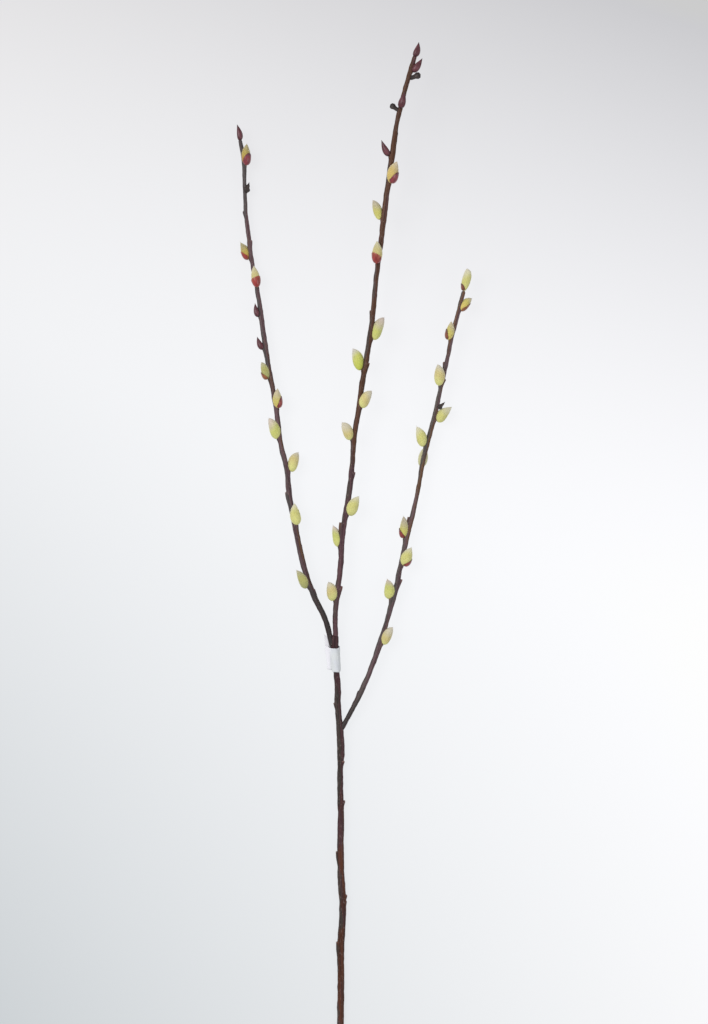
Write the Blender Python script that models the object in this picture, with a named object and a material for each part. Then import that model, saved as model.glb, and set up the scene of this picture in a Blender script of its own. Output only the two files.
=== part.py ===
"""A cut willow twig lying on a table: a stem, three shoots with catkins and a blank paper label.

Metres, +Z up. The twig lies along +Y with its tips at +Y, and its origin is at the middle of its
footprint, on the surface that it lies on. It touches that surface at three low spots: under the
stem's cut end, under one catkin of the left shoot and under the catkin behind the right shoot.
"""
import math
from typing import NamedTuple

import bpy
import bmesh
import numpy as np
from mathutils import Vector

# Sides of each tube and catkin, and the usual distance between the rings of a tube
STEM_SIDES = 10
SHOOT_SIDES = 8
CATKIN_SIDES = 8
BUD_SIDES = 6
RING_STEP = 0.012
RING_NEAREST = 0.0027

# How far above its ledge a spur has faded out
SPUR_BROW = 0.003

# Distance over which the direction of an axis is read
FRAME_STEP = 0.002

# Angle between two faces past which their edge is shaded sharp, in degrees
SHARP_ANGLE = 40.0

# Gap that two neighbouring pieces keep between them
GAP = 0.0003

# Height of the surface that the twig lies on
TABLE = 0.0

# Smooth route of each axis from its foot to its tip: x, y, height and radius
MAIN_ROUTE = [
    (-0.0124, -0.5128, 0.0033, 0.0035),
    (-0.0126, -0.4887, 0.0033, 0.0035),
    (-0.0125, -0.4586, 0.0035, 0.0034),
    (-0.0121, -0.4235, 0.0040, 0.0035),
    (-0.0125, -0.3983, 0.0044, 0.0036),
    (-0.0110, -0.3732, 0.0049, 0.0035),
    (-0.0104, -0.3511, 0.0053, 0.0036),
    (-0.0122, -0.3199, 0.0059, 0.0035),
    (-0.0125, -0.2928, 0.0063, 0.0034),
    (-0.0120, -0.2627, 0.0068, 0.0032),
    (-0.0128, -0.2326, 0.0072, 0.0030),
    (-0.0127, -0.2136, 0.0075, 0.0030),
    (-0.0121, -0.2025, 0.0077, 0.0038),
    (-0.0125, -0.1875, 0.0079, 0.0037),
    (-0.0131, -0.1755, 0.0081, 0.0036),
    (-0.0143, -0.1634, 0.0084, 0.0031),
    (-0.0154, -0.1504, 0.0088, 0.0032),
    (-0.0153, -0.1374, 0.0091, 0.0032),
    (-0.0161, -0.1233, 0.0095, 0.0030),
    (-0.0178, -0.1053, 0.0099, 0.0035),
    (-0.0186, -0.0933, 0.0102, 0.0043),
    (-0.0184, -0.0823, 0.0105, 0.0043),
]
LEFT_ROUTE = [
    (-0.0215, -0.0902, 0.0115, 0.0028),
    (-0.0275, -0.0672, 0.0122, 0.0027),
    (-0.0385, -0.0442, 0.0126, 0.0029),
    (-0.0470, -0.0212, 0.0127, 0.0029),
    (-0.0534, 0.0047, 0.0127, 0.0028),
    (-0.0582, 0.0297, 0.0126, 0.0030),
    (-0.0630, 0.0537, 0.0126, 0.0028),
    (-0.0661, 0.0827, 0.0125, 0.0027),
    (-0.0727, 0.1116, 0.0123, 0.0025),
    (-0.0773, 0.1476, 0.0120, 0.0026),
    (-0.0842, 0.1846, 0.0114, 0.0025),
    (-0.0897, 0.2207, 0.0105, 0.0026),
    (-0.0954, 0.2608, 0.0090, 0.0023),
    (-0.1015, 0.2929, 0.0078, 0.0022),
    (-0.1043, 0.3150, 0.0076, 0.0021),
    (-0.1075, 0.3430, 0.0080, 0.0020),
    (-0.1086, 0.3728, 0.0092, 0.0019),
    (-0.1092, 0.3927, 0.0104, 0.0022),
    (-0.1129, 0.4125, 0.0118, 0.0020),
]
MIDDLE_ROUTE = [
    (-0.0175, -0.0819, 0.0112, 0.0026),
    (-0.0177, -0.0622, 0.0122, 0.0025),
    (-0.0156, -0.0392, 0.0130, 0.0027),
    (-0.0122, -0.0122, 0.0140, 0.0028),
    (-0.0111, 0.0128, 0.0149, 0.0028),
    (-0.0071, 0.0397, 0.0158, 0.0029),
    (-0.0032, 0.0636, 0.0168, 0.0028),
    (-0.0007, 0.0875, 0.0179, 0.0026),
    (0.0010, 0.1144, 0.0190, 0.0028),
    (0.0054, 0.1413, 0.0203, 0.0026),
    (0.0087, 0.1661, 0.0215, 0.0028),
    (0.0143, 0.1988, 0.0232, 0.0028),
    (0.0192, 0.2315, 0.0250, 0.0026),
    (0.0223, 0.2661, 0.0270, 0.0025),
    (0.0270, 0.3026, 0.0295, 0.0026),
    (0.0315, 0.3400, 0.0320, 0.0028),
    (0.0355, 0.3714, 0.0342, 0.0027),
    (0.0396, 0.3988, 0.0362, 0.0028),
    (0.0432, 0.4242, 0.0380, 0.0023),
    (0.0500, 0.4525, 0.0400, 0.0023),
    (0.0565, 0.4750, 0.0416, 0.0023),
    (0.0610, 0.4905, 0.0428, 0.0020),
]
RIGHT_ROUTE = [
    (-0.0105, -0.1744, 0.0086, 0.0025),
    (-0.0038, -0.1624, 0.0090, 0.0023),
    (0.0080, -0.1393, 0.0098, 0.0027),
    (0.0183, -0.1153, 0.0106, 0.0026),
    (0.0268, -0.0912, 0.0113, 0.0029),
    (0.0343, -0.0672, 0.0118, 0.0024),
    (0.0422, -0.0392, 0.0122, 0.0026),
    (0.0483, -0.0093, 0.0124, 0.0025),
    (0.0542, 0.0167, 0.0123, 0.0026),
    (0.0599, 0.0397, 0.0121, 0.0023),
    (0.0653, 0.0647, 0.0115, 0.0021),
    (0.0693, 0.0887, 0.0110, 0.0024),
    (0.0751, 0.1126, 0.0113, 0.0024),
    (0.0815, 0.1366, 0.0119, 0.0024),
    (0.0866, 0.1605, 0.0132, 0.0022),
    (0.0930, 0.1874, 0.0142, 0.0021),
    (0.0978, 0.2123, 0.0153, 0.0022),
    (0.1048, 0.2392, 0.0166, 0.0020),
    (0.1102, 0.2610, 0.0178, 0.0020),
]


class Growth(NamedTuple):
    """A catkin, bud or stub: where its foot stands, how it leans out, and its own size.

    foot is the height up the part, turn the angle round the shoot in degrees (0 right, 90 up,
    180 left, 270 down), lean its angle to the shoot, out the distance of its foot from the axis.
    """

    foot: float
    turn: float
    lean: float
    out: float
    length: float
    width: float


class Spur(NamedTuple):
    """A ledge or scar of bark: sharp above, fading over a run below."""

    top: float
    turn: float
    rise: float
    run: float


MIDDLE_CATKINS = [
    Growth(0.3662, 40, 9, 0.0040, 0.0222, 0.0110),
    Growth(0.3301, 195, 28, 0.0037, 0.0205, 0.0086),
    Growth(0.2869, 116, 15, 0.0035, 0.0226, 0.0098),
    Growth(0.2126, 345, 17, 0.0040, 0.0244, 0.0100),
    Growth(0.1811, 190, 30, 0.0039, 0.0227, 0.0105),
    Growth(0.1450, 10, 26, 0.0020, 0.0196, 0.0100),
    Growth(0.1124, 165, 33, 0.0032, 0.0193, 0.0100),
    Growth(0.0378, 15, 18, 0.0040, 0.0215, 0.0110),
    Growth(0.0058, 205, 19, 0.0030, 0.0220, 0.0084),
    Growth(-0.0483, 160, 20, 0.0038, 0.0194, 0.0100),
]
MIDDLE_BUDS = [
    Growth(0.4754, 20, 22, 0.0021, 0.0169, 0.0062),
    Growth(0.4393, 84, 12, 0.0026, 0.0176, 0.0068),
    Growth(0.3922, 165, 36, 0.0028, 0.0180, 0.0066),
]
MIDDLE_STUBS = [
    Growth(0.4672, 350, 43, 0.0015, 0.0120, 0.0050),
    Growth(0.4374, 170, 70, 0.0010, 0.0100, 0.0046),
]
MIDDLE_TIP = Growth(0.4895, 0, 0, 0.0, 0.0155, 0.0068)
MIDDLE_SPURS = [
    Spur(0.4160, 300, 0.0007, 0.014),
    Spur(0.2400, 170, 0.0007, 0.008),
    Spur(0.1886, 20, 0.0009, 0.010),
    Spur(0.0800, 10, 0.0008, 0.008),
    Spur(0.0286, 180, 0.0015, 0.024),
    Spur(-0.0338, 0, 0.0014, 0.016),
]

LEFT_CATKINS = [
    Growth(0.3870, 45, 5, 0.0034, 0.0212, 0.0090),
    Growth(0.2943, 215, 20, 0.0036, 0.0198, 0.0084),
    Growth(0.2650, 82, 9, 0.0034, 0.0214, 0.0085),
    Growth(0.1736, 160, 7, 0.0041, 0.0181, 0.0080),
    Growth(0.1439, 40, 7, 0.0032, 0.0196, 0.0090),
    Growth(0.1141, 170, 15, 0.0022, 0.0222, 0.0100),
    Growth(0.0805, 350, 30, 0.0037, 0.0206, 0.0100),
    Growth(0.0273, 50, 7, 0.0030, 0.0218, 0.0100),
    Growth(-0.0341, 165, 9, 0.0041, 0.0207, 0.0092),
]
LEFT_BUDS = [
    Growth(0.2358, 150, 5, 0.0036, 0.0145, 0.0056),
    Growth(0.2033, 175, 16, 0.0028, 0.0145, 0.0060),
]
LEFT_STUBS = [
    Growth(0.3590, 0, 20, 0.0012, 0.0115, 0.0036),
]
LEFT_TIP = Growth(0.4115, 0, 0, 0.0, 0.0170, 0.0060)
LEFT_SPURS = [
    Spur(0.3410, 180, 0.0006, 0.008),
    Spur(0.3115, 20, 0.0009, 0.010),
    Spur(0.0600, 175, 0.0011, 0.014),
    Spur(-0.0380, 30, 0.0006, 0.012),
]

RIGHT_CATKINS = [
    Growth(0.2421, 340, 32, 0.0014, 0.0168, 0.0082),
    Growth(0.2117, 150, 3, 0.0036, 0.0186, 0.0086),
    Growth(0.1664, 145, 22, 0.0022, 0.0215, 0.0100),
    Growth(0.1322, 350, 32, 0.0036, 0.0208, 0.0106),
    Growth(0.1054, 170, 34, 0.0029, 0.0211, 0.0100),
    Growth(0.0857, 268, 16, 0.0037, 0.0212, 0.0096),
    Growth(0.0136, 175, 12, 0.0037, 0.0220, 0.0088),
    Growth(-0.0128, 25, 11, 0.0040, 0.0201, 0.0112),
    Growth(-0.0472, 180, 22, 0.0038, 0.0200, 0.0106),
    Growth(-0.0906, 10, 11, 0.0034, 0.0195, 0.0092),
]
RIGHT_STUBS = [
    Growth(0.1450, 10, 37, 0.0018, 0.0090, 0.0044),
]
RIGHT_TIP = Growth(0.2612, 180, 5, 0.0, 0.0220, 0.0094)
RIGHT_SPURS = [
    Spur(0.1890, 180, 0.0012, 0.010),
    Spur(0.1730, 350, 0.0010, 0.008),
    Spur(0.0340, 185, 0.0014, 0.024),
    Spur(-0.0270, 0, 0.0014, 0.014),
    Spur(-0.1400, 200, 0.0006, 0.010),
]

MAIN_SPURS = [
    Spur(-0.1510, 180, 0.0009, 0.007),
    Spur(-0.2090, 35, 0.0010, 0.005),
    Spur(-0.2490, 0, 0.0008, 0.007),
    Spur(-0.3000, 180, 0.0009, 0.015),
    Spur(-0.3440, 0, 0.0008, 0.005),
    Spur(-0.3500, 10, 0.0007, 0.005),
    Spur(-0.3910, 175, 0.0009, 0.016),
]

# Width of a catkin, a closed bud and a stub along its length: share of length, share of half width
CATKIN_SHAPE = [(0.04, 0.46), (0.16, 0.84), (0.38, 1.0), (0.62, 0.86), (0.84, 0.45), (0.95, 0.17)]
BUD_SHAPE = [(0.06, 0.62), (0.30, 1.0), (0.62, 0.74), (0.88, 0.26)]
STUB_SHAPE = [(0.05, 0.50), (0.45, 0.50), (0.62, 1.0), (0.88, 0.72)]
CATKIN_BOW = 0.03

# The cup scale that hugs a catkin's outer side: how far it stands proud and how far up it reaches
CUP_RISE = 0.0004
CUP_TOP = 0.5

# The cushion of bark under each growth
CUSHION_RISE = 0.0007
CUSHION_DROP = 0.0015
CUSHION_RUN = 0.007

# The label: a strip wound once round the stem, whose two ends stand out as a flag behind, on the left
LABEL_HEIGHT = 0.0240
LABEL_THICKNESS = 0.0006
LABEL_MIDDLE = -0.1077
LABEL_TOP_RADIUS = 0.0056
LABEL_FOOT_RADIUS = 0.0044
LABEL_RISE = [0.0040, 0.0010, 0.0, 0.0020, 0.0080, 0.0150]
LABEL_BENDS = 20
FLAG_LENGTH = 0.0042
FLAG_TURN = 196.0
FLAG_MOUTH = 24.0
FLAG_PLY_GAP = 0.0006

FINISHES = {
    "main_stem": ((0.090, 0.052, 0.048), 0.55),
    "middle_shoot": ((0.110, 0.058, 0.056), 0.55),
    "left_shoot": ((0.105, 0.060, 0.058), 0.55),
    "right_shoot": ((0.110, 0.060, 0.058), 0.55),
    "label": ((0.780, 0.790, 0.800), 0.60),
}


class Axis:
    """A smooth curve through a route, with a radius at every place along it."""

    SAMPLES = 24

    def __init__(self, route):
        rows = np.array(route)
        rows = np.vstack([2 * rows[0] - rows[1], rows, 2 * rows[-1] - rows[-2]])
        dense = []
        for a, b, c, d in zip(rows, rows[1:], rows[2:], rows[3:]):
            for t in np.linspace(0.0, 1.0, self.SAMPLES, endpoint=False):
                bend = (2 * a - 5 * b + 4 * c - d) * t * t + (3 * b - a - 3 * c + d) * t ** 3
                dense.append(0.5 * (2 * b + (c - a) * t + bend))
        dense.append(rows[-2])
        self.rows = np.array(dense)
        steps = np.linalg.norm(np.diff(self.rows[:, :3], axis=0), axis=1)
        self.along = np.concatenate([[0.0], np.cumsum(steps)])
        self.length = float(self.along[-1])

    def station(self, height):
        """Distance along the curve where it passes a height up the part."""
        return float(np.interp(height, self.rows[:, 1], self.along))

    def at(self, s):
        """Point and radius at a distance along the curve."""
        values = [float(np.interp(s, self.along, self.rows[:, i])) for i in range(4)]
        return Vector(values[:3]), values[3]

    def frame(self, s):
        """Directions along the curve, to its right and up from it."""
        behind, _ = self.at(max(0.0, s - FRAME_STEP))
        ahead, _ = self.at(min(self.length, s + FRAME_STEP))
        along = (ahead - behind).normalized()
        right = along.cross(Vector((0.0, 0.0, 1.0))).normalized()
        return along, right, right.cross(along)

    def outward(self, s, degrees):
        """Direction straight out of the curve at a turn round it."""
        _, right, up = self.frame(s)
        turn = math.radians(degrees)
        return right * math.cos(turn) + up * math.sin(turn)


def cushions(growths):
    """The small ledge of bark that each growth stands on."""
    return [Spur(g.foot + CUSHION_DROP, g.turn, CUSHION_RISE, CUSHION_RUN) for g in growths]


def relief(axis, spurs, s, degrees):
    """How far the bark stands proud at a place on a tube."""
    total = 0.0
    for spur in spurs:
        below = axis.station(spur.top) - s
        if below < 0.0:
            fall = max(0.0, 1.0 + below / SPUR_BROW)
        else:
            fall = max(0.0, 1.0 - below / spur.run)
        facing = max(0.0, math.cos(math.radians(degrees - spur.turn)))
        total += spur.rise * fall * facing ** 2
    return total


def stations(axis, spurs):
    """Distances of a tube's rings: evenly spaced, with two at each spur."""
    marks = []
    for spur in spurs:
        top = axis.station(spur.top)
        marks += [top, top + SPUR_BROW]
    count = max(2, round(axis.length / RING_STEP))
    even = [axis.length * i / count for i in range(count + 1)]
    chosen = [even[0], even[-1]]
    for s in sorted(marks) + even[1:-1]:
        if all(abs(s - other) >= RING_NEAREST for other in chosen):
            chosen.append(s)
    return sorted(chosen)


def new_object(name, bm):
    """Turn a bmesh into a named object in the scene, with its faces pointing out."""
    bmesh.ops.recalc_face_normals(bm, faces=bm.faces)
    mesh = bpy.data.meshes.new(name)
    bm.to_mesh(mesh)
    bm.free()
    body = bpy.data.objects.new(name, mesh)
    bpy.context.scene.collection.objects.link(body)
    return body


def skin(name, rings, first=None, last=None):
    """Close a row of rings into one body, with a point or a flat cap at each end."""
    bm = bmesh.new()
    loops = [[bm.verts.new(point) for point in ring] for ring in rings]
    for low, high in zip(loops, loops[1:]):
        for i, vert in enumerate(low):
            j = (i + 1) % len(low)
            bm.faces.new((vert, low[j], high[j], high[i]))
    for loop, point in ((loops[0], first), (loops[-1], last)):
        if point is None:
            bm.faces.new(loop)
            continue
        pole = bm.verts.new(point)
        for i, vert in enumerate(loop):
            bm.faces.new((vert, loop[(i + 1) % len(loop)], pole))
    return new_object(name, bm)


def ring_turns(sides):
    """Turns of a ring's corners, in degrees, with one flat side facing down."""
    return [270.0 + 360.0 * (i + 0.5) / sides for i in range(sides)]


def tube(name, axis, sides, spurs=(), swell=0.0):
    """A branch: a tube along an axis, with its ledges and scars raised from it."""
    rings = []
    for s in stations(axis, spurs):
        centre, radius = axis.at(s)
        if s == 0.0:
            centre -= axis.frame(s)[0] * swell
        if s == axis.length:
            centre += axis.frame(s)[0] * swell
        ring = []
        for degrees in ring_turns(sides):
            reach = radius + swell + relief(axis, spurs, s, degrees)
            ring.append(centre + axis.outward(s, degrees) * reach)
        rings.append(ring)
    return skin(name, rings)


def place(axis, growth, at_tip):
    """Foot, long direction and outward direction of a growth."""
    s = axis.length if at_tip else axis.station(growth.foot)
    centre, _ = axis.at(s)
    along, _, _ = axis.frame(s)
    out = axis.outward(s, growth.turn)
    lean = math.radians(growth.lean)
    foot = centre + out * growth.out
    if at_tip:
        foot = centre - along * (axis.length - axis.station(growth.foot) + GAP)
    heading = along * math.cos(lean) + out * math.sin(lean)
    return foot, heading, (out - heading * out.dot(heading)).normalized()


def growth_body(name, axis, growth, shape, sides, cup=0.0, at_tip=False):
    """A catkin, bud or stub: a turned shape along its own line, with a cup scale on its outer side."""
    foot, heading, out = place(axis, growth, at_tip)
    down = Vector((0.0, 0.0, -1.0))
    down = (down - heading * down.dot(heading)).normalized()
    across = heading.cross(down)
    half = growth.width / 2.0
    rings = []
    for share, wide in shape:
        middle = foot + heading * (growth.length * share)
        middle += out * (CATKIN_BOW * growth.length * math.sin(math.pi * share))
        ring = []
        for i in range(sides):
            angle = 2.0 * math.pi * (i + 0.5) / sides
            side = down * math.cos(angle) + across * math.sin(angle)
            proud = cup if share < CUP_TOP and side.dot(out) > 0.0 else 0.0
            ring.append(middle + side * (half * wide + proud))
        rings.append(ring)
    return skin(name, rings, foot, foot + heading * growth.length)


def fuse(trunk, growths):
    """Join growths to their trunk in one body, and drop the loose ones."""
    group = bpy.data.collections.new(trunk.name + "_growths")
    bpy.context.scene.collection.children.link(group)
    for body in growths:
        bpy.context.scene.collection.objects.unlink(body)
        group.objects.link(body)
    union = trunk.modifiers.new("growths", "BOOLEAN")
    union.operation = "UNION"
    union.operand_type = "COLLECTION"
    union.collection = group
    apply_modifiers(trunk)
    for body in growths:
        bpy.data.objects.remove(body)
    bpy.data.collections.remove(group)


def cut(body, cutter):
    """Take a cutter away from a body, and drop the cutter."""
    trim = body.modifiers.new("trim", "BOOLEAN")
    trim.operation = "DIFFERENCE"
    trim.object = cutter
    apply_modifiers(body)
    bpy.data.objects.remove(cutter)


def apply_modifiers(body):
    """Keep what the modifiers of an object make as its own mesh."""
    graph = bpy.context.evaluated_depsgraph_get()
    mesh = bpy.data.meshes.new_from_object(body.evaluated_get(graph))
    body.modifiers.clear()
    body.data = mesh


def rest_on_table(body):
    """Press what would reach below the table into a small flat spot on it."""
    for vert in body.data.vertices:
        vert.co.z = max(TABLE, vert.co.z)


def make_shoot(name, axis, spurs, catkins, buds, stubs, tip, tip_is_catkin, cutters):
    """A shoot with everything that grows on it, trimmed clear of what carries it."""
    body = tube(name, axis, SHOOT_SIDES, spurs + cushions(catkins + buds))
    for cutter in cutters:
        cut(body, cutter)
    growths = []
    for growth in catkins:
        growths.append(growth_body("catkin", axis, growth, CATKIN_SHAPE, CATKIN_SIDES, CUP_RISE))
    for growth in buds:
        growths.append(growth_body("bud", axis, growth, BUD_SHAPE, BUD_SIDES))
    for growth in stubs:
        growths.append(growth_body("stub", axis, growth, STUB_SHAPE, BUD_SIDES))
    if tip_is_catkin:
        growths.append(growth_body("tip", axis, tip, CATKIN_SHAPE, CATKIN_SIDES, CUP_RISE, True))
    else:
        growths.append(growth_body("tip", axis, tip, BUD_SHAPE, BUD_SIDES, 0.0, True))
    fuse(body, growths)
    rest_on_table(body)
    return body


def strip_line(right, up, radius, depth):
    """One face of the label's strip across the stem: flag, once round the stem, flag again."""
    flag_turn = math.radians(FLAG_TURN)
    mouth = math.radians(FLAG_MOUTH)
    out = right * math.cos(flag_turn) + up * math.sin(flag_turn)
    side = up * math.cos(flag_turn) - right * math.sin(flag_turn)
    ply = side * (FLAG_PLY_GAP / 2.0 + LABEL_THICKNESS - depth)
    reaches = [radius + FLAG_LENGTH, radius + FLAG_LENGTH / 2.0]
    wound = []
    for i in range(LABEL_BENDS + 1):
        turn = flag_turn - mouth / 2.0 - (2.0 * math.pi - mouth) * i / LABEL_BENDS
        wound.append((right * math.cos(turn) + up * math.sin(turn)) * (radius - depth))
    first = [out * reach - ply for reach in reaches]
    last = [out * reach + ply for reach in reversed(reaches)]
    return first + wound + last


def make_label(name, axis):
    """The paper strip, wound loosely round the stem, wider at its top and rising round the back."""
    s = axis.station(LABEL_MIDDLE)
    centre, _ = axis.at(s)
    along, right, up = axis.frame(s)
    top_outer = strip_line(right, up, LABEL_TOP_RADIUS, 0.0)
    top_inner = strip_line(right, up, LABEL_TOP_RADIUS, LABEL_THICKNESS)
    foot_inner = strip_line(right, up, LABEL_FOOT_RADIUS, LABEL_THICKNESS)
    foot_outer = strip_line(right, up, LABEL_FOOT_RADIUS, 0.0)
    shares = np.linspace(0.0, 1.0, len(top_outer))
    rises = np.interp(shares, np.linspace(0.0, 1.0, len(LABEL_RISE)), LABEL_RISE)
    rings = []
    for i, rise in enumerate(rises):
        top = centre + along * (float(rise) + LABEL_HEIGHT / 2.0)
        foot = centre + along * (float(rise) - LABEL_HEIGHT / 2.0)
        rings.append([top + top_outer[i], top + top_inner[i], foot + foot_inner[i], foot + foot_outer[i]])
    return skin(name, rings)


def finish(body):
    """Give a piece its own material and shade its round sides smooth."""
    colour, roughness = FINISHES[body.name]
    material = bpy.data.materials.new(body.name)
    material.use_nodes = True
    shader = material.node_tree.nodes["Principled BSDF"]
    shader.inputs["Base Color"].default_value = (*colour, 1.0)
    shader.inputs["Roughness"].default_value = roughness
    shader.inputs["Metallic"].default_value = 0.0
    body.data.materials.clear()
    body.data.materials.append(material)
    body.data.shade_smooth()
    body.data.set_sharp_from_angle(angle=math.radians(SHARP_ANGLE))


def main():
    """Build the twig from its foot to its tips."""
    for leftover in list(bpy.data.objects):
        bpy.data.objects.remove(leftover)
    main_axis = Axis(MAIN_ROUTE)
    middle_axis = Axis(MIDDLE_ROUTE)
    left_axis = Axis(LEFT_ROUTE)
    right_axis = Axis(RIGHT_ROUTE)

    stem = tube("main_stem", main_axis, STEM_SIDES, MAIN_SPURS)
    rest_on_table(stem)
    clear_stem = [tube("cutter", main_axis, STEM_SIDES, MAIN_SPURS, GAP) for _ in range(2)]
    clear_middle = tube("cutter", middle_axis, SHOOT_SIDES, (), GAP)

    middle = make_shoot("middle_shoot", middle_axis, MIDDLE_SPURS, MIDDLE_CATKINS, MIDDLE_BUDS,
                        MIDDLE_STUBS, MIDDLE_TIP, False, [])
    left = make_shoot("left_shoot", left_axis, LEFT_SPURS, LEFT_CATKINS, LEFT_BUDS,
                      LEFT_STUBS, LEFT_TIP, False, [clear_stem[0], clear_middle])
    right = make_shoot("right_shoot", right_axis, RIGHT_SPURS, RIGHT_CATKINS, [],
                       RIGHT_STUBS, RIGHT_TIP, True, [clear_stem[1]])
    label = make_label("label", main_axis)
    for body in (stem, middle, left, right, label):
        finish(body)


main()
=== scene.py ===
"""The looks of a cut willow twig: bark, silky catkins, cup scales, closed buds, cut end and label.

Metres, +Z up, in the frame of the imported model: the twig lies along +Y with its tips at +Y, and a
camera looks straight down on it. The routes and growths repeat the named values of the solids, so
each piece stays where the node that it replaces is.
"""

import logging
import math
from collections.abc import Iterable, Sequence
from dataclasses import dataclass, replace
from enum import Enum

import bmesh
import bpy
import numpy as np
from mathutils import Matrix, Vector

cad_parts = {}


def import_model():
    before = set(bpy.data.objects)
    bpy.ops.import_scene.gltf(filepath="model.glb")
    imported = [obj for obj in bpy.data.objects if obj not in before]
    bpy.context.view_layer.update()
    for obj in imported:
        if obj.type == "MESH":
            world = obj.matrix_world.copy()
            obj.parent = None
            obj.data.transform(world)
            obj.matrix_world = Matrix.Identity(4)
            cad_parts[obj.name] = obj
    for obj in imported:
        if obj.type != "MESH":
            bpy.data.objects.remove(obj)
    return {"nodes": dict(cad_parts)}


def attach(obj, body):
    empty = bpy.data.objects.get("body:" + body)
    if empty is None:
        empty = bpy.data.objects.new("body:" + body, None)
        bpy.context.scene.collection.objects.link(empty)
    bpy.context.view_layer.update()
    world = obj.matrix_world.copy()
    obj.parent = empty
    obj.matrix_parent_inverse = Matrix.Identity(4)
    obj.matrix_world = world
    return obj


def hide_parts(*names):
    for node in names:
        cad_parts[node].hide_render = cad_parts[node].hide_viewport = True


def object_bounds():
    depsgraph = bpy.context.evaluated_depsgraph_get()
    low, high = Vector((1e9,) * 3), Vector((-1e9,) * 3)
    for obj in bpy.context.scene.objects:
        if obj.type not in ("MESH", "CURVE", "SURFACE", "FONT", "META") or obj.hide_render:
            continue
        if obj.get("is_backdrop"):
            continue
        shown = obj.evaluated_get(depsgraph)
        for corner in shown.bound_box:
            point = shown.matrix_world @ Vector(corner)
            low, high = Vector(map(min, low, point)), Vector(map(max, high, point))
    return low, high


LOG = logging.getLogger("willow_twig")

Triple = tuple[float, float, float]
Route = tuple[tuple[float, float, float, float], ...]


def shade(code: str) -> Triple:
    """Turn a colour as it looks on a screen, six hex digits, into the linear one that shaders take.

    Args:
        code: Red, green and blue as two hex digits each.

    Returns:
        The linear red, green and blue.
    """
    parts = [int(code[i:i + 2], 16) / 255.0 for i in (0, 2, 4)]
    return tuple(p / 12.92 if p <= 0.04045 else ((p + 0.055) / 1.055) ** 2.4 for p in parts)


def unit(vectors: np.ndarray) -> np.ndarray:
    """Scale vectors to a length of one."""
    return vectors / np.linalg.norm(vectors, axis=-1, keepdims=True)


def smooth(low: float, high: float, values: np.ndarray) -> np.ndarray:
    """Rise softly from 0 at low to 1 at high."""
    share = np.clip((values - low) / (high - low), 0.0, 1.0)
    return share * share * (3.0 - 2.0 * share)


class Tone(Enum):
    """Colours of a catkin's silk at its foot, its belly and its tip."""

    FRESH = ("c5c47d", "bbb86f", "c4c0a6")
    LIME = ("b3bb4d", "b3b65a", "bcb8b0")
    BUTTER = ("c4b05e", "b8ad5b", "b4a98d")
    HONEY = ("bca458", "bba461", "baac92")
    AMBER = ("a06d30", "9f8c3e", "958c68")
    CREAM = ("c3a766", "b6ab73", "b8b294")
    TAN = ("c8c77f", "bdb075", "bcb5a2")
    PINK = ("c0c175", "b2b564", "bdb0a4")
    DUSKY = ("c4c272", "b2ad5c", "a89f8b")
    OLIVE = ("979961", "9c9a59", "a6a286")
    PALE = ("b9b78c", "b8b58e", "bcb89c")


class Form(Enum):
    """How full a catkin is: its widest place along it, and how round its foot is."""

    FULL = (0.54, 0.42)
    BLUNT = (0.43, 0.50)
    ALMOND = (0.39, 0.52)
    POINTED = (0.35, 0.54)


class StubForm(Enum):
    """Half widths of a stub along it: pairs of a share of its length and a share of its half width."""

    CLUB = ((0.0, 0.80), (0.40, 0.80), (0.72, 1.20), (0.90, 1.00), (1.0, 0.30))
    THORN = ((0.0, 1.00), (0.25, 1.20), (0.60, 0.60), (1.0, 0.12))
    KNOT = ((0.0, 0.80), (0.35, 1.40), (0.60, 0.75), (1.0, 0.12))


class Cup(Enum):
    """Colours of the bud scale that still hugs a catkin: its body and its rim."""

    CRIMSON = ("84323a", "5e2e36")
    WINE = ("7c2c36", "552a34")
    SCARLET = ("862a27", "944632")
    ORANGE = ("86502c", "6c3e2a")
    BROWN = ("74402c", "4f3129")
    DARK = ("84322e", "582a2c")


@dataclass(frozen=True)
class Spur:
    """A ledge or scar of bark: sharp above, fading over a run below.

    Its top is a height up the part and its turn an angle round the shoot.
    """

    top: float
    turn: float
    rise: float
    run: float
    brow: float = 0.0012


@dataclass(frozen=True)
class Growth:
    """A bud, stub or catkin: where its foot stands, how it leans out, and its own size.

    foot is the height up the part, turn the angle round the shoot in degrees (0 right, 90 up,
    180 left, 270 down), lean its angle to the shoot, out the distance of its foot from the axis.
    """

    foot: float
    turn: float
    lean: float
    out: float
    length: float
    width: float


@dataclass(frozen=True)
class Catkin(Growth):
    """A catkin with the tone of its silk and the cup scale on it, if one is left.

    side is where the scale's middle stands round the catkin in degrees from its outer side, span
    how far it reaches to each hand, and reach its top as a share of the catkin's length. Its edge
    is lower at both hands by drop, and higher on one hand by skew.
    """

    tone: Tone = Tone.FRESH
    form: Form = Form.ALMOND
    cup: Cup | None = None
    side: float = 0.0
    span: float = 80.0
    reach: float = 0.45
    drop: float = 0.55
    skew: float = 0.0


@dataclass(frozen=True)
class Stub(Growth):
    """A dark stub: a club, a thorn or a knot."""

    form: StubForm = StubForm.CLUB


@dataclass(frozen=True)
class ShootPlan:
    """All that one shoot is built from: its route, its ledges and what grows on it."""

    name: str
    node: str
    route: Route
    spurs: tuple[Spur, ...]
    catkins: tuple[Catkin, ...]
    buds: tuple[Growth, ...]
    stubs: tuple[Stub, ...]
    tip: Growth
    root: float


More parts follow.
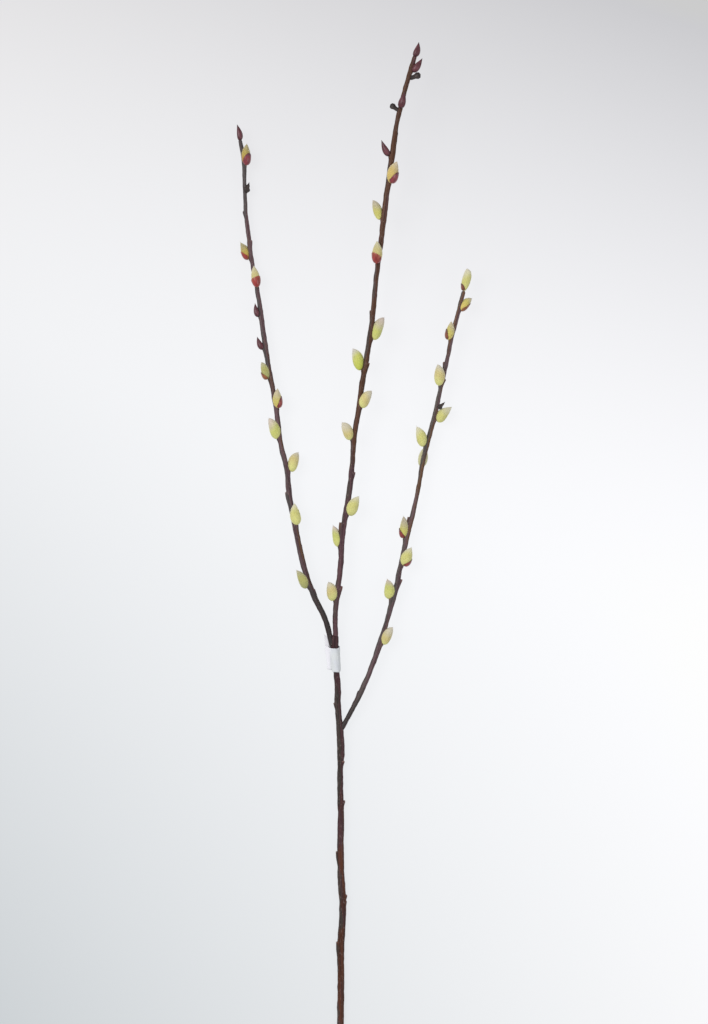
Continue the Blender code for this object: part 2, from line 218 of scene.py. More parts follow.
STEM_ROUTE: Route = (
    (-0.0124, -0.5128, 0.0033, 0.0035),
    (-0.0126, -0.4887, 0.0033, 0.0035),
    (-0.0125, -0.4586, 0.0035, 0.0034),
    (-0.0121, -0.4235, 0.0040, 0.0035),
    (-0.0125, -0.3983, 0.0044, 0.0036),
    (-0.0110, -0.3732, 0.0049, 0.0035),
    (-0.0104, -0.3511, 0.0053, 0.0036),
    (-0.0122, -0.3199, 0.0059, 0.0035),
    (-0.0125, -0.2928, 0.0063, 0.0034),
    (-0.0120, -0.2627, 0.0068, 0.0032),
    (-0.0128, -0.2326, 0.0072, 0.0030),
    (-0.0127, -0.2136, 0.0075, 0.0030),
    (-0.0121, -0.2025, 0.0077, 0.0038),
    (-0.0125, -0.1875, 0.0079, 0.0037),
    (-0.0131, -0.1755, 0.0081, 0.0036),
    (-0.0143, -0.1634, 0.0084, 0.0031),
    (-0.0154, -0.1504, 0.0088, 0.0032),
    (-0.0153, -0.1374, 0.0091, 0.0032),
    (-0.0161, -0.1233, 0.0095, 0.0030),
    (-0.0178, -0.1053, 0.0099, 0.0035),
    (-0.0186, -0.0933, 0.0102, 0.0043),
    (-0.0184, -0.0823, 0.0105, 0.0043),
)
STEM_SPURS = (
    Spur(-0.1510, 180, 0.0012, 0.007),
    Spur(-0.2090, 35, 0.0014, 0.006),
    Spur(-0.2490, 0, 0.0016, 0.006),
    Spur(-0.3000, 180, 0.0014, 0.015),
    Spur(-0.3440, 0, 0.0012, 0.005),
    Spur(-0.3500, 10, 0.0008, 0.005),
    Spur(-0.3910, 175, 0.0014, 0.016),
    Spur(-0.1435, 80, 0.0004, 0.004),
)

MIDDLE = ShootPlan(
    name="middle",
    node="middle_shoot",
    route=(
        (-0.0175, -0.0819, 0.0112, 0.0026),
        (-0.0177, -0.0622, 0.0122, 0.0025),
        (-0.0156, -0.0392, 0.0130, 0.0027),
        (-0.0122, -0.0122, 0.0140, 0.0028),
        (-0.0111, 0.0128, 0.0149, 0.0028),
        (-0.0071, 0.0397, 0.0158, 0.0029),
        (-0.0032, 0.0636, 0.0168, 0.0028),
        (-0.0007, 0.0875, 0.0179, 0.0026),
        (0.0010, 0.1144, 0.0190, 0.0028),
        (0.0054, 0.1413, 0.0203, 0.0026),
        (0.0087, 0.1661, 0.0215, 0.0028),
        (0.0143, 0.1988, 0.0232, 0.0028),
        (0.0192, 0.2315, 0.0250, 0.0026),
        (0.0223, 0.2661, 0.0270, 0.0025),
        (0.0270, 0.3026, 0.0295, 0.0026),
        (0.0315, 0.3400, 0.0320, 0.0028),
        (0.0355, 0.3714, 0.0342, 0.0027),
        (0.0396, 0.3988, 0.0362, 0.0028),
        (0.0432, 0.4242, 0.0380, 0.0023),
        (0.0500, 0.4525, 0.0400, 0.0023),
        (0.0565, 0.4750, 0.0416, 0.0023),
        (0.0610, 0.4905, 0.0428, 0.0020),
    ),
    spurs=(
        Spur(0.4160, 300, 0.0009, 0.014),
        Spur(0.2400, 170, 0.0012, 0.010),
        Spur(0.1886, 20, 0.0014, 0.010),
        Spur(0.0800, 10, 0.0012, 0.008),
        Spur(0.0286, 180, 0.0022, 0.024),
        Spur(-0.0338, 0, 0.0022, 0.015),
        Spur(0.1812, 95, 0.0006, 0.006),
    ),
    catkins=(
        Catkin(0.3662, 40, 9, 0.0040, 0.0222, 0.0112, Tone.HONEY, Form.ALMOND, Cup.CRIMSON, 18, 100, 0.56),
        Catkin(0.3301, 195, 28, 0.0037, 0.0205, 0.0088, Tone.DUSKY, Form.BLUNT),
        Catkin(0.2869, 116, 15, 0.0035, 0.0226, 0.0100, Tone.CREAM, Form.ALMOND, Cup.SCARLET, 10, 105, 0.50,
               0.35, -0.22),
        Catkin(0.2126, 345, 17, 0.0040, 0.0244, 0.0112, Tone.PINK, Form.BLUNT),
        Catkin(0.1811, 190, 30, 0.0039, 0.0227, 0.0110, Tone.LIME, Form.BLUNT),
        Catkin(0.1450, 10, 26, 0.0020, 0.0196, 0.0108, Tone.TAN, Form.BLUNT),
        Catkin(0.1124, 165, 33, 0.0032, 0.0193, 0.0106, Tone.TAN, Form.BLUNT),
        Catkin(0.0378, 15, 18, 0.0040, 0.0215, 0.0114, Tone.FRESH, Form.ALMOND),
        Catkin(0.0058, 205, 19, 0.0030, 0.0220, 0.0094, Tone.PINK, Form.ALMOND),
        Catkin(-0.0483, 160, 20, 0.0038, 0.0194, 0.0108, Tone.TAN, Form.BLUNT),
    ),
    buds=(
        Growth(0.4754, 20, 22, 0.0021, 0.0169, 0.0072),
        Growth(0.4393, 84, 12, 0.0026, 0.0176, 0.0074),
        Growth(0.3922, 165, 36, 0.0028, 0.0180, 0.0066),
    ),
    stubs=(
        Stub(0.4696, 350, 54, 0.0015, 0.0110, 0.0056),
        Stub(0.4374, 170, 70, 0.0010, 0.0100, 0.0050),
    ),
    tip=Growth(0.4895, 0, 0, 0.0, 0.0155, 0.0068),
    root=0.004,
)

LEFT = ShootPlan(
    name="left",
    node="left_shoot",
    route=(
        (-0.0215, -0.0902, 0.0115, 0.0028),
        (-0.0275, -0.0672, 0.0122, 0.0027),
        (-0.0385, -0.0442, 0.0126, 0.0029),
        (-0.0470, -0.0212, 0.0127, 0.0029),
        (-0.0534, 0.0047, 0.0127, 0.0028),
        (-0.0582, 0.0297, 0.0126, 0.0030),
        (-0.0630, 0.0537, 0.0126, 0.0028),
        (-0.0661, 0.0827, 0.0125, 0.0027),
        (-0.0727, 0.1116, 0.0123, 0.0025),
        (-0.0773, 0.1476, 0.0120, 0.0026),
        (-0.0842, 0.1846, 0.0114, 0.0025),
        (-0.0897, 0.2207, 0.0105, 0.0026),
        (-0.0954, 0.2608, 0.0090, 0.0023),
        (-0.1015, 0.2929, 0.0078, 0.0022),
        (-0.1043, 0.3150, 0.0076, 0.0021),
        (-0.1075, 0.3430, 0.0080, 0.0020),
        (-0.1086, 0.3728, 0.0092, 0.0019),
        (-0.1092, 0.3927, 0.0104, 0.0022),
        (-0.1129, 0.4125, 0.0118, 0.0020),
    ),
    spurs=(
        Spur(0.3410, 180, 0.0009, 0.008),
        Spur(0.3115, 20, 0.0013, 0.010),
        Spur(0.0600, 175, 0.0015, 0.014),
        Spur(-0.0380, 30, 0.0009, 0.012),
    ),
    catkins=(
        Catkin(0.3870, 45, 5, 0.0034, 0.0212, 0.0090, Tone.AMBER, Form.ALMOND, Cup.WINE, 0, 105, 0.58),
        Catkin(0.2943, 215, 20, 0.0036, 0.0198, 0.0092, Tone.AMBER, Form.POINTED, Cup.SCARLET, 35, 95, 0.52),
        Catkin(0.2650, 82, 9, 0.0034, 0.0214, 0.0086, Tone.CREAM, Form.ALMOND, Cup.SCARLET, -8, 105, 0.50,
               0.15, 0.14),
        Catkin(0.1736, 160, 7, 0.0041, 0.0181, 0.0084, Tone.OLIVE, Form.BLUNT, Cup.ORANGE, -16, 125, 0.48,
               0.60, -0.15),
        Catkin(0.1439, 40, 7, 0.0032, 0.0196, 0.0092, Tone.BUTTER, Form.ALMOND, Cup.DARK, 15, 90, 0.60,
               0.55, 0.25),
        Catkin(0.1141, 170, 15, 0.0022, 0.0222, 0.0108, Tone.PINK, Form.BLUNT),
        Catkin(0.0805, 350, 30, 0.0037, 0.0206, 0.0106, Tone.TAN, Form.BLUNT),
        Catkin(0.0273, 50, 7, 0.0030, 0.0218, 0.0104, Tone.FRESH, Form.ALMOND),
        Catkin(-0.0341, 165, 9, 0.0041, 0.0207, 0.0094, Tone.OLIVE, Form.ALMOND),
    ),
    buds=(
        Growth(0.2358, 150, 5, 0.0036, 0.0145, 0.0056),
        Growth(0.2033, 175, 16, 0.0028, 0.0145, 0.0060),
    ),
    stubs=(
        Stub(0.3602, 0, 24, 0.0002, 0.0110, 0.0052, StubForm.KNOT),
    ),
    tip=Growth(0.4115, 0, 0, 0.0, 0.0170, 0.0060),
    root=0.006,
)

RIGHT = ShootPlan(
    name="right",
    node="right_shoot",
    route=(
        (-0.0105, -0.1744, 0.0086, 0.0025),
        (-0.0038, -0.1624, 0.0090, 0.0023),
        (0.0080, -0.1393, 0.0098, 0.0027),
        (0.0183, -0.1153, 0.0106, 0.0026),
        (0.0268, -0.0912, 0.0113, 0.0029),
        (0.0343, -0.0672, 0.0118, 0.0024),
        (0.0422, -0.0392, 0.0122, 0.0026),
        (0.0483, -0.0093, 0.0124, 0.0025),
        (0.0542, 0.0167, 0.0123, 0.0026),
        (0.0599, 0.0397, 0.0121, 0.0023),
        (0.0653, 0.0647, 0.0115, 0.0021),
        (0.0693, 0.0887, 0.0110, 0.0024),
        (0.0751, 0.1126, 0.0113, 0.0024),
        (0.0815, 0.1366, 0.0119, 0.0024),
        (0.0866, 0.1605, 0.0132, 0.0022),
        (0.0930, 0.1874, 0.0142, 0.0021),
        (0.0978, 0.2123, 0.0153, 0.0022),
        (0.1048, 0.2392, 0.0166, 0.0020),
        (0.1102, 0.2610, 0.0178, 0.0020),
    ),
    spurs=(
        Spur(0.1890, 180, 0.0016, 0.010),
        Spur(0.1730, 350, 0.0013, 0.008),
        Spur(0.0340, 185, 0.0020, 0.024),
        Spur(-0.0270, 0, 0.0020, 0.012),
        Spur(-0.0400, 185, 0.0018, 0.030),
        Spur(-0.1400, 200, 0.0008, 0.010),
    ),
    catkins=(
        Catkin(0.2421, 340, 32, 0.0014, 0.0168, 0.0086, Tone.BUTTER, Form.BLUNT, Cup.ORANGE, -22, 72, 0.76),
        Catkin(0.2117, 150, 3, 0.0036, 0.0186, 0.0086, Tone.BUTTER, Form.ALMOND, Cup.BROWN, -10, 68, 0.58),
        Catkin(0.1664, 145, 22, 0.0022, 0.0215, 0.0104, Tone.TAN, Form.BLUNT),
        Catkin(0.1322, 350, 32, 0.0036, 0.0208, 0.0110, Tone.FRESH, Form.POINTED),
        Catkin(0.1054, 170, 34, 0.0029, 0.0211, 0.0104, Tone.FRESH, Form.ALMOND),
        Catkin(0.0857, 268, 16, 0.0037, 0.0212, 0.0096, Tone.PALE, Form.ALMOND),
        Catkin(0.0136, 175, 12, 0.0037, 0.0220, 0.0090, Tone.DUSKY, Form.ALMOND, Cup.DARK, -12, 150, 0.46,
               0.62, -0.25),
        Catkin(-0.0128, 25, 11, 0.0040, 0.0201, 0.0112, Tone.FRESH, Form.ALMOND, Cup.DARK, 22, 115, 0.46,
               0.60, 0.20),
        Catkin(-0.0472, 180, 22, 0.0038, 0.0200, 0.0110, Tone.PINK, Form.ALMOND),
        Catkin(-0.0906, 10, 11, 0.0034, 0.0195, 0.0098, Tone.TAN, Form.BLUNT),
    ),
    buds=(),
    stubs=(
        Stub(0.1450, 10, 37, 0.0018, 0.0090, 0.0044, StubForm.THORN),
    ),
    tip=Catkin(0.2612, 180, 5, 0.0, 0.0220, 0.0084, Tone.FRESH, Form.FULL, Cup.BROWN, 20, 95, 0.32),
    root=0.006,
)


class Value:
    """A socket of a node tree that takes part in Python maths."""

    def __init__(self, graph: "Graph", socket: bpy.types.NodeSocket) -> None:
        self.graph = graph
        self.socket = socket

    def __add__(self, other: "Value | float") -> "Value":
        """Add, as a Math node."""
        return self.graph.maths("ADD", self, other)

    def __radd__(self, other: float) -> "Value":
        """Add to a plain number."""
        return self.graph.maths("ADD", other, self)

    def __sub__(self, other: "Value | float") -> "Value":
        """Subtract, as a Math node."""
        return self.graph.maths("SUBTRACT", self, other)

    def __rsub__(self, other: float) -> "Value":
        """Subtract from a plain number."""
        return self.graph.maths("SUBTRACT", other, self)

    def __mul__(self, other: "Value | float") -> "Value":
        """Multiply, as a Math node."""
        return self.graph.maths("MULTIPLY", self, other)

    def __rmul__(self, other: float) -> "Value":
        """Multiply a plain number."""
        return self.graph.maths("MULTIPLY", other, self)

    def __pow__(self, other: float) -> "Value":
        """Raise to a power, as a Math node."""
        return self.graph.maths("POWER", self, other)

    def within(self, low: float, high: float) -> "Value":
        """Keep the value between two limits."""
        return self.graph.maths("MINIMUM", self.graph.maths("MAXIMUM", self, low), high)

    def rise(self, low: float, high: float) -> "Value":
        """Rise softly from 0 at low to 1 at high."""
        settings = {"interpolation_type": "SMOOTHSTEP"}
        return self.graph.value("ShaderNodeMapRange", settings, {0: self, 1: low, 2: high})


class Graph:
    """A node tree in the making: nodes by their type, links by value."""

    def __init__(self, tree: bpy.types.NodeTree) -> None:
        self.tree = tree

    def feed(self, socket: bpy.types.NodeSocket, value: object) -> None:
        """Set a socket's own value, or link a value to it."""
        if isinstance(value, Value):
            self.tree.links.new(value.socket, socket)
        elif socket.type == "RGBA" and len(value) == 3:
            socket.default_value = (*value, 1.0)
        else:
            socket.default_value = value

    def node(self, kind: str, settings: dict | None = None, inputs: dict | None = None) -> bpy.types.Node:
        """Add a node.

        Args:
            kind: The node's type.
            settings: Its own options, such as an operation, which are set first.
            inputs: Values or links of its sockets, by name or place.

        Returns:
            The node.
        """
        node = self.tree.nodes.new(kind)
        for name, setting in (settings or {}).items():
            setattr(node, name, setting)
        for key, value in (inputs or {}).items():
            self.feed(node.inputs[key], value)
        return node

    def value(self, kind: str, settings: dict | None = None, inputs: dict | None = None,
              output: int | str = 0) -> Value:
        """Add a node and return one of its outputs."""
        return Value(self, self.node(kind, settings, inputs).outputs[output])

    def maths(self, operation: str, first: "Value | float", second: "Value | float" = 0.0) -> Value:
        """Work on one or two numbers."""
        return self.value("ShaderNodeMath", {"operation": operation}, {0: first, 1: second})

    def vector(self, operation: str, first: object, second: object) -> Value:
        """Work on two vectors, such as to multiply or add them."""
        return self.value("ShaderNodeVectorMath", {"operation": operation}, {0: first, 1: second})

    def scaled(self, vector: object, amount: "Value | float") -> Value:
        """Scale a vector or a colour by a number."""
        return self.value("ShaderNodeVectorMath", {"operation": "SCALE"}, {0: vector, "Scale": amount})

    def mix(self, share: "Value | float", first: object, second: object) -> Value:
        """Blend two colours."""
        return self.value("ShaderNodeMix", {"data_type": "RGBA"}, {0: share, 6: first, 7: second}, 2)

    def noise(self, place: Value, stretch: Triple, detail: float = 2.0, roughness: float = 0.55) -> Value:
        """Cloudy noise between 0 and 1.

        Args:
            place: Where it is read, in metres.
            stretch: Blotches to the metre along each axis.
            detail: Number of finer layers.
            roughness: Strength of each finer layer.

        Returns:
            The noise at that place.
        """
        inputs = {"Vector": self.vector("MULTIPLY", place, stretch), "Scale": 1.0,
                  "Detail": detail, "Roughness": roughness}
        return self.value("ShaderNodeTexNoise", None, inputs)

    def attribute(self, name: str, output: str) -> Value:
        """Read a named attribute of the piece: its Color, Vector or Fac."""
        return self.value("ShaderNodeAttribute", {"attribute_name": name}, None, output)

    def place(self) -> Value:
        """Object coordinates."""
        return self.value("ShaderNodeTexCoord", None, None, "Object")

    def split(self, vector: Value) -> tuple[Value, Value, Value]:
        """Take a vector apart."""
        parts = self.node("ShaderNodeSeparateXYZ", None, {0: vector}).outputs
        return Value(self, parts[0]), Value(self, parts[1]), Value(self, parts[2])

    def bump(self, height: Value, strength: float, distance: float) -> Value:
        """Turn a height into a bent normal."""
        inputs = {"Height": height, "Strength": strength, "Distance": distance}
        return self.value("ShaderNodeBump", None, inputs)


def new_material(name: str) -> tuple[bpy.types.Material, Graph]:
    """Start a material with an empty node tree."""
    material = bpy.data.materials.new(name)
    material.use_nodes = True
    material.node_tree.nodes.clear()
    return material, Graph(material.node_tree)


def close_material(graph: Graph, inputs: dict) -> None:
    """End a material with its shader and output.

    Args:
        graph: The material's node tree.
        inputs: What the Principled shader's sockets get.
    """
    surface = graph.value("ShaderNodeBsdfPrincipled", None, inputs)
    graph.node("ShaderNodeOutputMaterial", None, {"Surface": surface})


@dataclass(frozen=True)
class BarkFinish:
    """Satin bark: a main colour with brown patches, olive mottling of its own that leans to its left
    side as painted light from the left, dark furrows and pale flecks.

    The shares of brown and olive go from one value at the foot of the part to another at its tip,
    between two heights. At 0.2 none of the colour shows and at 0.8 nothing else does. At the end
    of the part that meets a fork, the bark is darker by fork_shade, a painted shade where the
    shoots join, and more olive by fork_olive. Both fade out from fork_shade_low to fork_shade_high:
    upwards from the foot, or downwards from the top if fork_shade_low is higher.
    """

    name: str
    main: str = "42292c"
    brown: str = "4c2a1a"
    olive: str = "36322d"
    # Pinkish lengthwise streaks, a painted highlight.
    blush: str = "5c3c40"
    furrow: str = "1c1213"
    fleck: str = "7c6a66"
    scar: str = "7d4c30"
    # Pinkish painted highlight along the top of each ledge and leaf scar.
    brow: str = "a8857c"
    brown_foot: float = 0.70
    brown_tip: float = 0.22
    foot: float = -0.42
    tip: float = -0.13
    olive_foot: float = 0.42
    olive_tip: float = 0.48
    # Painted shade near the fork, a shift to olive there, and the heights that they fade over.
    fork_shade: float = 0.0
    fork_olive: float = 0.0
    fork_shade_low: float = 0.0
    fork_shade_high: float = 1.0
    gloss: float = 0.15
    roughness: float = 0.46

    def build(self) -> bpy.types.Material:
        """Build the material."""
        material, g = new_material(self.name)
        straight = g.attribute("straight", "Vector")
        round_x = g.split(straight)[0]
        height = g.split(g.place())[1]

        patch = g.noise(g.vector("ADD", straight, (0.0, 7.7, 0.0)), (220, 30, 220), 3.0)
        up = height.rise(self.foot, self.tip)
        brown = (patch + up * (self.brown_tip - self.brown_foot) + self.brown_foot).rise(0.95, 1.07)
        blotch = g.noise(straight, (150, 34, 150), 3.0)
        # Painted light: the left side, towards the key lamp, is pushed to olive grey, the right side away from
        # it.
        left = (round_x * -170.0).within(-0.5, 0.5)
        # Painted shade mask: 1 at the end of the part that meets a fork, fading to 0 away from it.
        dark = 1.0 - height.rise(self.fork_shade_low, self.fork_shade_high)
        share = up * (self.olive_tip - self.olive_foot) + dark * self.fork_olive + self.olive_foot
        olive = (blotch + left * 0.36 + share).rise(0.97, 1.06)
        streak = g.noise(straight, (1100, 22, 1100), 2.0)
        # Lengthwise streaks that take the pinkish painted highlight.
        rib = g.noise(g.vector("ADD", straight, (3.1, 0.0, 1.7)), (700, 20, 700), 2.0)
        fleck = g.noise(straight, (820, 330, 820), 2.0, 0.6)
        fine = g.noise(straight, (2600, 120, 2600), 3.0, 0.65)

        colour = g.mix(brown, shade(self.main), shade(self.brown))
        colour = g.mix(olive * 0.85, colour, shade(self.olive))
        colour = g.mix(rib.rise(0.53, 0.68) * 0.4, colour, shade(self.blush))
        colour = g.mix((1.0 - streak.rise(0.38, 0.52)) * 0.58, colour, shade(self.furrow))
        colour = g.mix(fleck.rise(0.60, 0.72) * 0.4, colour, shade(self.fleck))
        colour = g.mix(g.attribute("scar", "Fac").rise(0.60, 1.0) * 0.3, colour, shade(self.scar))
        # Painted highlight: pinkish along the top of the ledges.
        colour = g.mix(g.attribute("brow", "Fac").rise(0.30, 0.90) * 0.45, colour, shade(self.brow))
        # The fine grain sets the level, and the painted shade darkens the bark near the fork.
        colour = g.scaled(colour, (fine * 0.8 + 0.62) * (1.0 - dark * self.fork_shade))

        ridge = g.attribute("ridge", "Fac")
        relief = g.bump(streak * 0.6 + fine * 0.4, 0.6, 0.0005)
        close_material(g, {
            "Base Color": colour,
            "Roughness": (self.roughness + (0.5 - ridge) * 0.25 + (fine - 0.5) * 0.3).within(0.25, 0.85),
            "Specular IOR Level": self.gloss,
            "Normal": relief,
        })
        return material


@dataclass(frozen=True)
class LenticelFinish:
    """The small corky warts of the bark."""

    name: str = "lenticel_cork"
    light: str = "8a7464"
    dark: str = "5c463e"

    def build(self) -> bpy.types.Material:
        """Build the material."""
        material, g = new_material(self.name)
        grain = g.noise(g.place(), (900, 900, 900), 2.0)
        colour = g.mix(grain.rise(0.35, 0.65), shade(self.dark), shade(self.light))
        close_material(g, {"Base Color": colour, "Roughness": 0.8, "Specular IOR Level": 0.2})
        return material


@dataclass(frozen=True)
class SilkFinish:
    """The silky body of a catkin: its own tone, finely streaked, a little browner between its bracts."""

    name: str = "catkin_silk"
    between: str = "a8985c"
    between_share: float = 0.14

    def build(self) -> bpy.types.Material:
        """Build the material."""
        material, g = new_material(self.name)
        grain = g.attribute("grain", "Vector")
        streak = g.noise(grain, (2200, 260, 2200), 3.0, 0.6)
        cloud = g.noise(grain, (260, 120, 260), 2.0)
        tone = g.attribute("tone", "Color")
        bract = g.attribute("bract", "Fac")
        colour = g.mix((1.0 - bract) * self.between_share, tone, shade(self.between))
        colour = g.scaled(colour, streak * 0.20 + cloud * 0.28 + 0.76)
        relief = g.bump(streak, 0.3, 0.0002)
        close_material(g, {
            "Base Color": colour,
            "Roughness": 0.72,
            "Specular IOR Level": 0.25,
            "Sheen Weight": 0.25,
            "Sheen Roughness": 0.4,
            "Normal": relief,
        })
        return material


@dataclass(frozen=True)
class HairFinish:
    """The silvery hairs of a catkin, tinted by the silk below them."""

    name: str = "catkin_hair"
    silver: str = "e8e4d6"
    lilac: str = "d6cdd2"
    silver_share: float = 0.24

    def build(self) -> bpy.types.Material:
        """Build the material."""
        material, g = new_material(self.name)
        tone = g.attribute("tone", "Color")
        along = g.attribute("along", "Fac")
        tuft = g.mix(along.rise(0.75, 1.0), shade(self.silver), shade(self.lilac))
        colour = g.mix((along * 0.40 + self.silver_share).within(0.0, 0.85), tone, tuft)
        close_material(g, {"Base Color": colour, "Roughness": 0.55, "Specular IOR Level": 0.3})
        return material


@dataclass(frozen=True)
class CupFinish:
    """A glossy cup scale: its own tone in the middle, darker to its rim, with fine veins."""

    name: str = "cup_scale_gloss"
    roughness: float = 0.28

    def build(self) -> bpy.types.Material:
        """Build the material."""
        material, g = new_material(self.name)
        grain = g.attribute("grain", "Vector")
        tone = g.attribute("tone", "Color")
        rim = g.attribute("rim_tone", "Color")
        edge = g.attribute("edge", "Fac")
        vein = g.noise(grain, (1500, 110, 1500), 2.0)
        blotch = g.noise(grain, (420, 240, 420), 2.0)
        cloud = g.noise(g.vector("ADD", grain, (0.0, 3.1, 0.0)), (240, 190, 240), 2.0)
        colour = g.mix((edge.rise(0.55, 1.0) * 0.8 + blotch.rise(0.5, 0.7) * 0.55).within(0.0, 1.0),
                       tone, rim)
        colour = g.scaled(colour, (vein * 0.9 + 0.5) * (cloud * 1.3 + 0.35))
        close_material(g, {
            "Base Color": colour,
            "Roughness": (vein * 0.2 + self.roughness - 0.05),
            "Coat Weight": 0.35,
            "Coat Roughness": 0.15,
            "Specular IOR Level": 0.4,
            "Normal": g.bump(vein, 0.35, 0.0003),
        })
        return material


@dataclass(frozen=True)
class BudFinish:
    """A closed bud: satin maroon, pinker in soft patches and near black at its tip and foot."""

    name: str = "bud_satin"
    body: str = "4a242a"
    blush: str = "6a3c44"
    tip: str = "281a1b"
    roughness: float = 0.40

    def build(self) -> bpy.types.Material:
        """Build the material."""
        material, g = new_material(self.name)
        grain = g.attribute("grain", "Vector")
        along = g.attribute("along", "Fac")
        streak = g.noise(grain, (1600, 90, 1600), 2.0)
        cloud = g.noise(grain, (380, 150, 380), 2.0)
        colour = g.mix(cloud.rise(0.45, 0.68) * 0.6, shade(self.body), shade(self.blush))
        ends = along.rise(0.72, 1.0) * 0.85 + (1.0 - along.rise(0.02, 0.16)) * 0.6
        colour = g.mix(ends.within(0.0, 1.0), colour, shade(self.tip))
        colour = g.scaled(colour, streak * 0.6 + 0.7)
        close_material(g, {
            "Base Color": colour,
            "Roughness": streak * 0.25 + (self.roughness - 0.1),
            "Specular IOR Level": 0.3,
            "Coat Weight": 0.08,
            "Coat Roughness": 0.2,
            "Normal": g.bump(streak, 0.35, 0.0003),
        })
        return material


@dataclass(frozen=True)
class CutFinish:
    """The cut end of the wood: pale, with a pith, a few rings and saw marks."""

    name: str = "cut_wood_grain"
    pale: str = "d8c39a"
    ring: str = "b08f60"
    pith: str = "8a6a45"
    rings_per_metre: float = 1500.0
    pith_radius: float = 0.00045

    def build(self, centre: Triple) -> bpy.types.Material:
        """Build the material.

        Args:
            centre: Middle of the cut face.

        Returns:
            The material.
        """
        material, g = new_material(self.name)
        place = g.vector("SUBTRACT", g.place(), centre)
        x, _, z = g.split(place)
        wobble = g.noise(place, (500, 500, 500), 2.0)
        reach = (x * x + z * z) ** 0.5 + (wobble - 0.5) * 0.0004
        ring = g.maths("FRACT", reach * self.rings_per_metre).rise(0.55, 1.0)
        saw = g.noise(place, (300, 300, 4200), 2.0)
        colour = g.mix(ring * 0.7, shade(self.pale), shade(self.ring))
        pith = 1.0 - reach.rise(self.pith_radius * 0.7, self.pith_radius * 1.2)
        colour = g.mix(pith * 0.85, colour, shade(self.pith))
        colour = g.scaled(colour, saw * 0.3 + 0.82)
        close_material(g, {
            "Base Color": colour,
            "Roughness": 0.8,
            "Specular IOR Level": 0.2,
            "Normal": g.bump(saw * 0.7 + ring * 0.3, 0.5, 0.0003),
        })
        return material


@dataclass(frozen=True)
class PaperFinish:
    """Matt white label paper with a faint blue-grey cast, a fine fibre and painted light on its flag."""

    name: str = "label_paper_matt"
    white: str = "c5c8c9"
    cool: str = "c2c5ca"
    crease: str = "aeb0b6"
    painted_flag_light: str = "dddbe0"
    # Painted light: the flag, lit flatly, is brightened between these two places across the part.
    flag_from: float = -0.0205
    flag_to: float = -0.0245

    def build(self) -> bpy.types.Material:
        """Build the material."""
        material, g = new_material(self.name)
        place = g.place()
        fibre = g.noise(place, (5200, 1400, 5200), 3.0, 0.65)
        cloud = g.noise(place, (160, 90, 160), 2.0)
        fold = g.noise(g.vector("ADD", place, (0.3, 0.9, 0.1)), (700, 60, 700), 1.0)
        colour = g.mix(cloud.rise(0.38, 0.66), shade(self.white), shade(self.cool))
        colour = g.mix(fold.rise(0.62, 0.74) * 0.35, colour, shade(self.crease))
        # Painted light on the flag.
        colour = g.mix(g.split(place)[0].rise(self.flag_from, self.flag_to) * 0.8, colour, shade(self.painted_flag_light))
        colour = g.scaled(colour, fibre * 0.10 + 0.95)
        close_material(g, {
            "Base Color": colour,
            "Roughness": 0.62,
            "Specular IOR Level": 0.3,
            "Normal": g.bump(fibre * 0.4 + fold * 0.6, 0.3, 0.0002),
        })
        return material


@dataclass(frozen=True)
class FloorFinish:
    """The pale floor glows: its emission is painted light, brightest along a slanting line, softly
    darker to both sides, and it is faintly shaded.

    Levels are screen levels out of 255. The line starts at start and runs along heading. Red and blue
    part from green by a number, a slope to the right, a slope up and a twist. What the lamps add to
    the floor is taken off, so that it keeps those levels. Past the reach the pattern stays as it is,
    and further out it fades to one level that meets the room's.
    """

    name: str = "studio_floor"
    start: tuple[float, float] = (-0.344, 0.229)
    heading: tuple[float, float] = (0.9102, -0.4141)
    level: float = 240.5
    gain: float = 16.8
    fall_above: float = 148.0
    power_above: float = 1.985
    fall_below: float = 78.9
    gain_below: float = 50.1
    power_below: float = 1.33
    red: tuple[float, float, float, float] = (-1.13, 2.65, 3.0, -6.7)
    blue: tuple[float, float, float, float] = (2.4, 0.0, 0.0, 4.37)
    lowest: float = 203.0
    highest: float = 253.0
    reach: float = 0.7
    fade_from: float = 0.68
    fade_to: float = 2.6
    far_level: float = 208.0
    lit: float = 0.065
    albedo: float = 0.06

    def build(self) -> bpy.types.Material:
        """Build the material."""
        material, g = new_material(self.name)
        x, y, _ = g.split(g.place())
        far = ((x * x + y * y) ** 0.5).rise(self.fade_from, self.fade_to)
        x = x.within(-self.reach, self.reach)
        y = y.within(-self.reach, self.reach)
        right = x - self.start[0]
        up = y - self.start[1]
        along = right * self.heading[0] + up * self.heading[1]
        across = up * self.heading[0] - right * self.heading[1]
        above = g.maths("MAXIMUM", across, 0.0) ** self.power_above
        below = g.maths("MAXIMUM", across * -1.0, 0.0) ** self.power_below
        level = self.level + along * self.gain - above * self.fall_above
        level = level - (self.fall_below - along * self.gain_below) * below
        channels = {}
        for place, shift in enumerate((self.red, (0.0, 0.0, 0.0, 0.0), self.blue)):
            own = level + shift[0] + x * shift[1] + y * shift[2] + x * y * shift[3]
            own = own.within(self.lowest, self.highest)
            own = own + far * (self.far_level - own)
            # The emission carries the floor's painted light.
            channels[place] = (own * (1.0 / 255.0 / 1.055) + 0.055 / 1.055) ** 2.4 - self.lit
        close_material(g, {
            "Base Color": (self.albedo, self.albedo, self.albedo),
            "Roughness": 0.9,
            "Specular IOR Level": 0.0,
            "Emission Color": g.value("ShaderNodeCombineXYZ", None, channels),
            "Emission Strength": 1.0,
        })
        return material


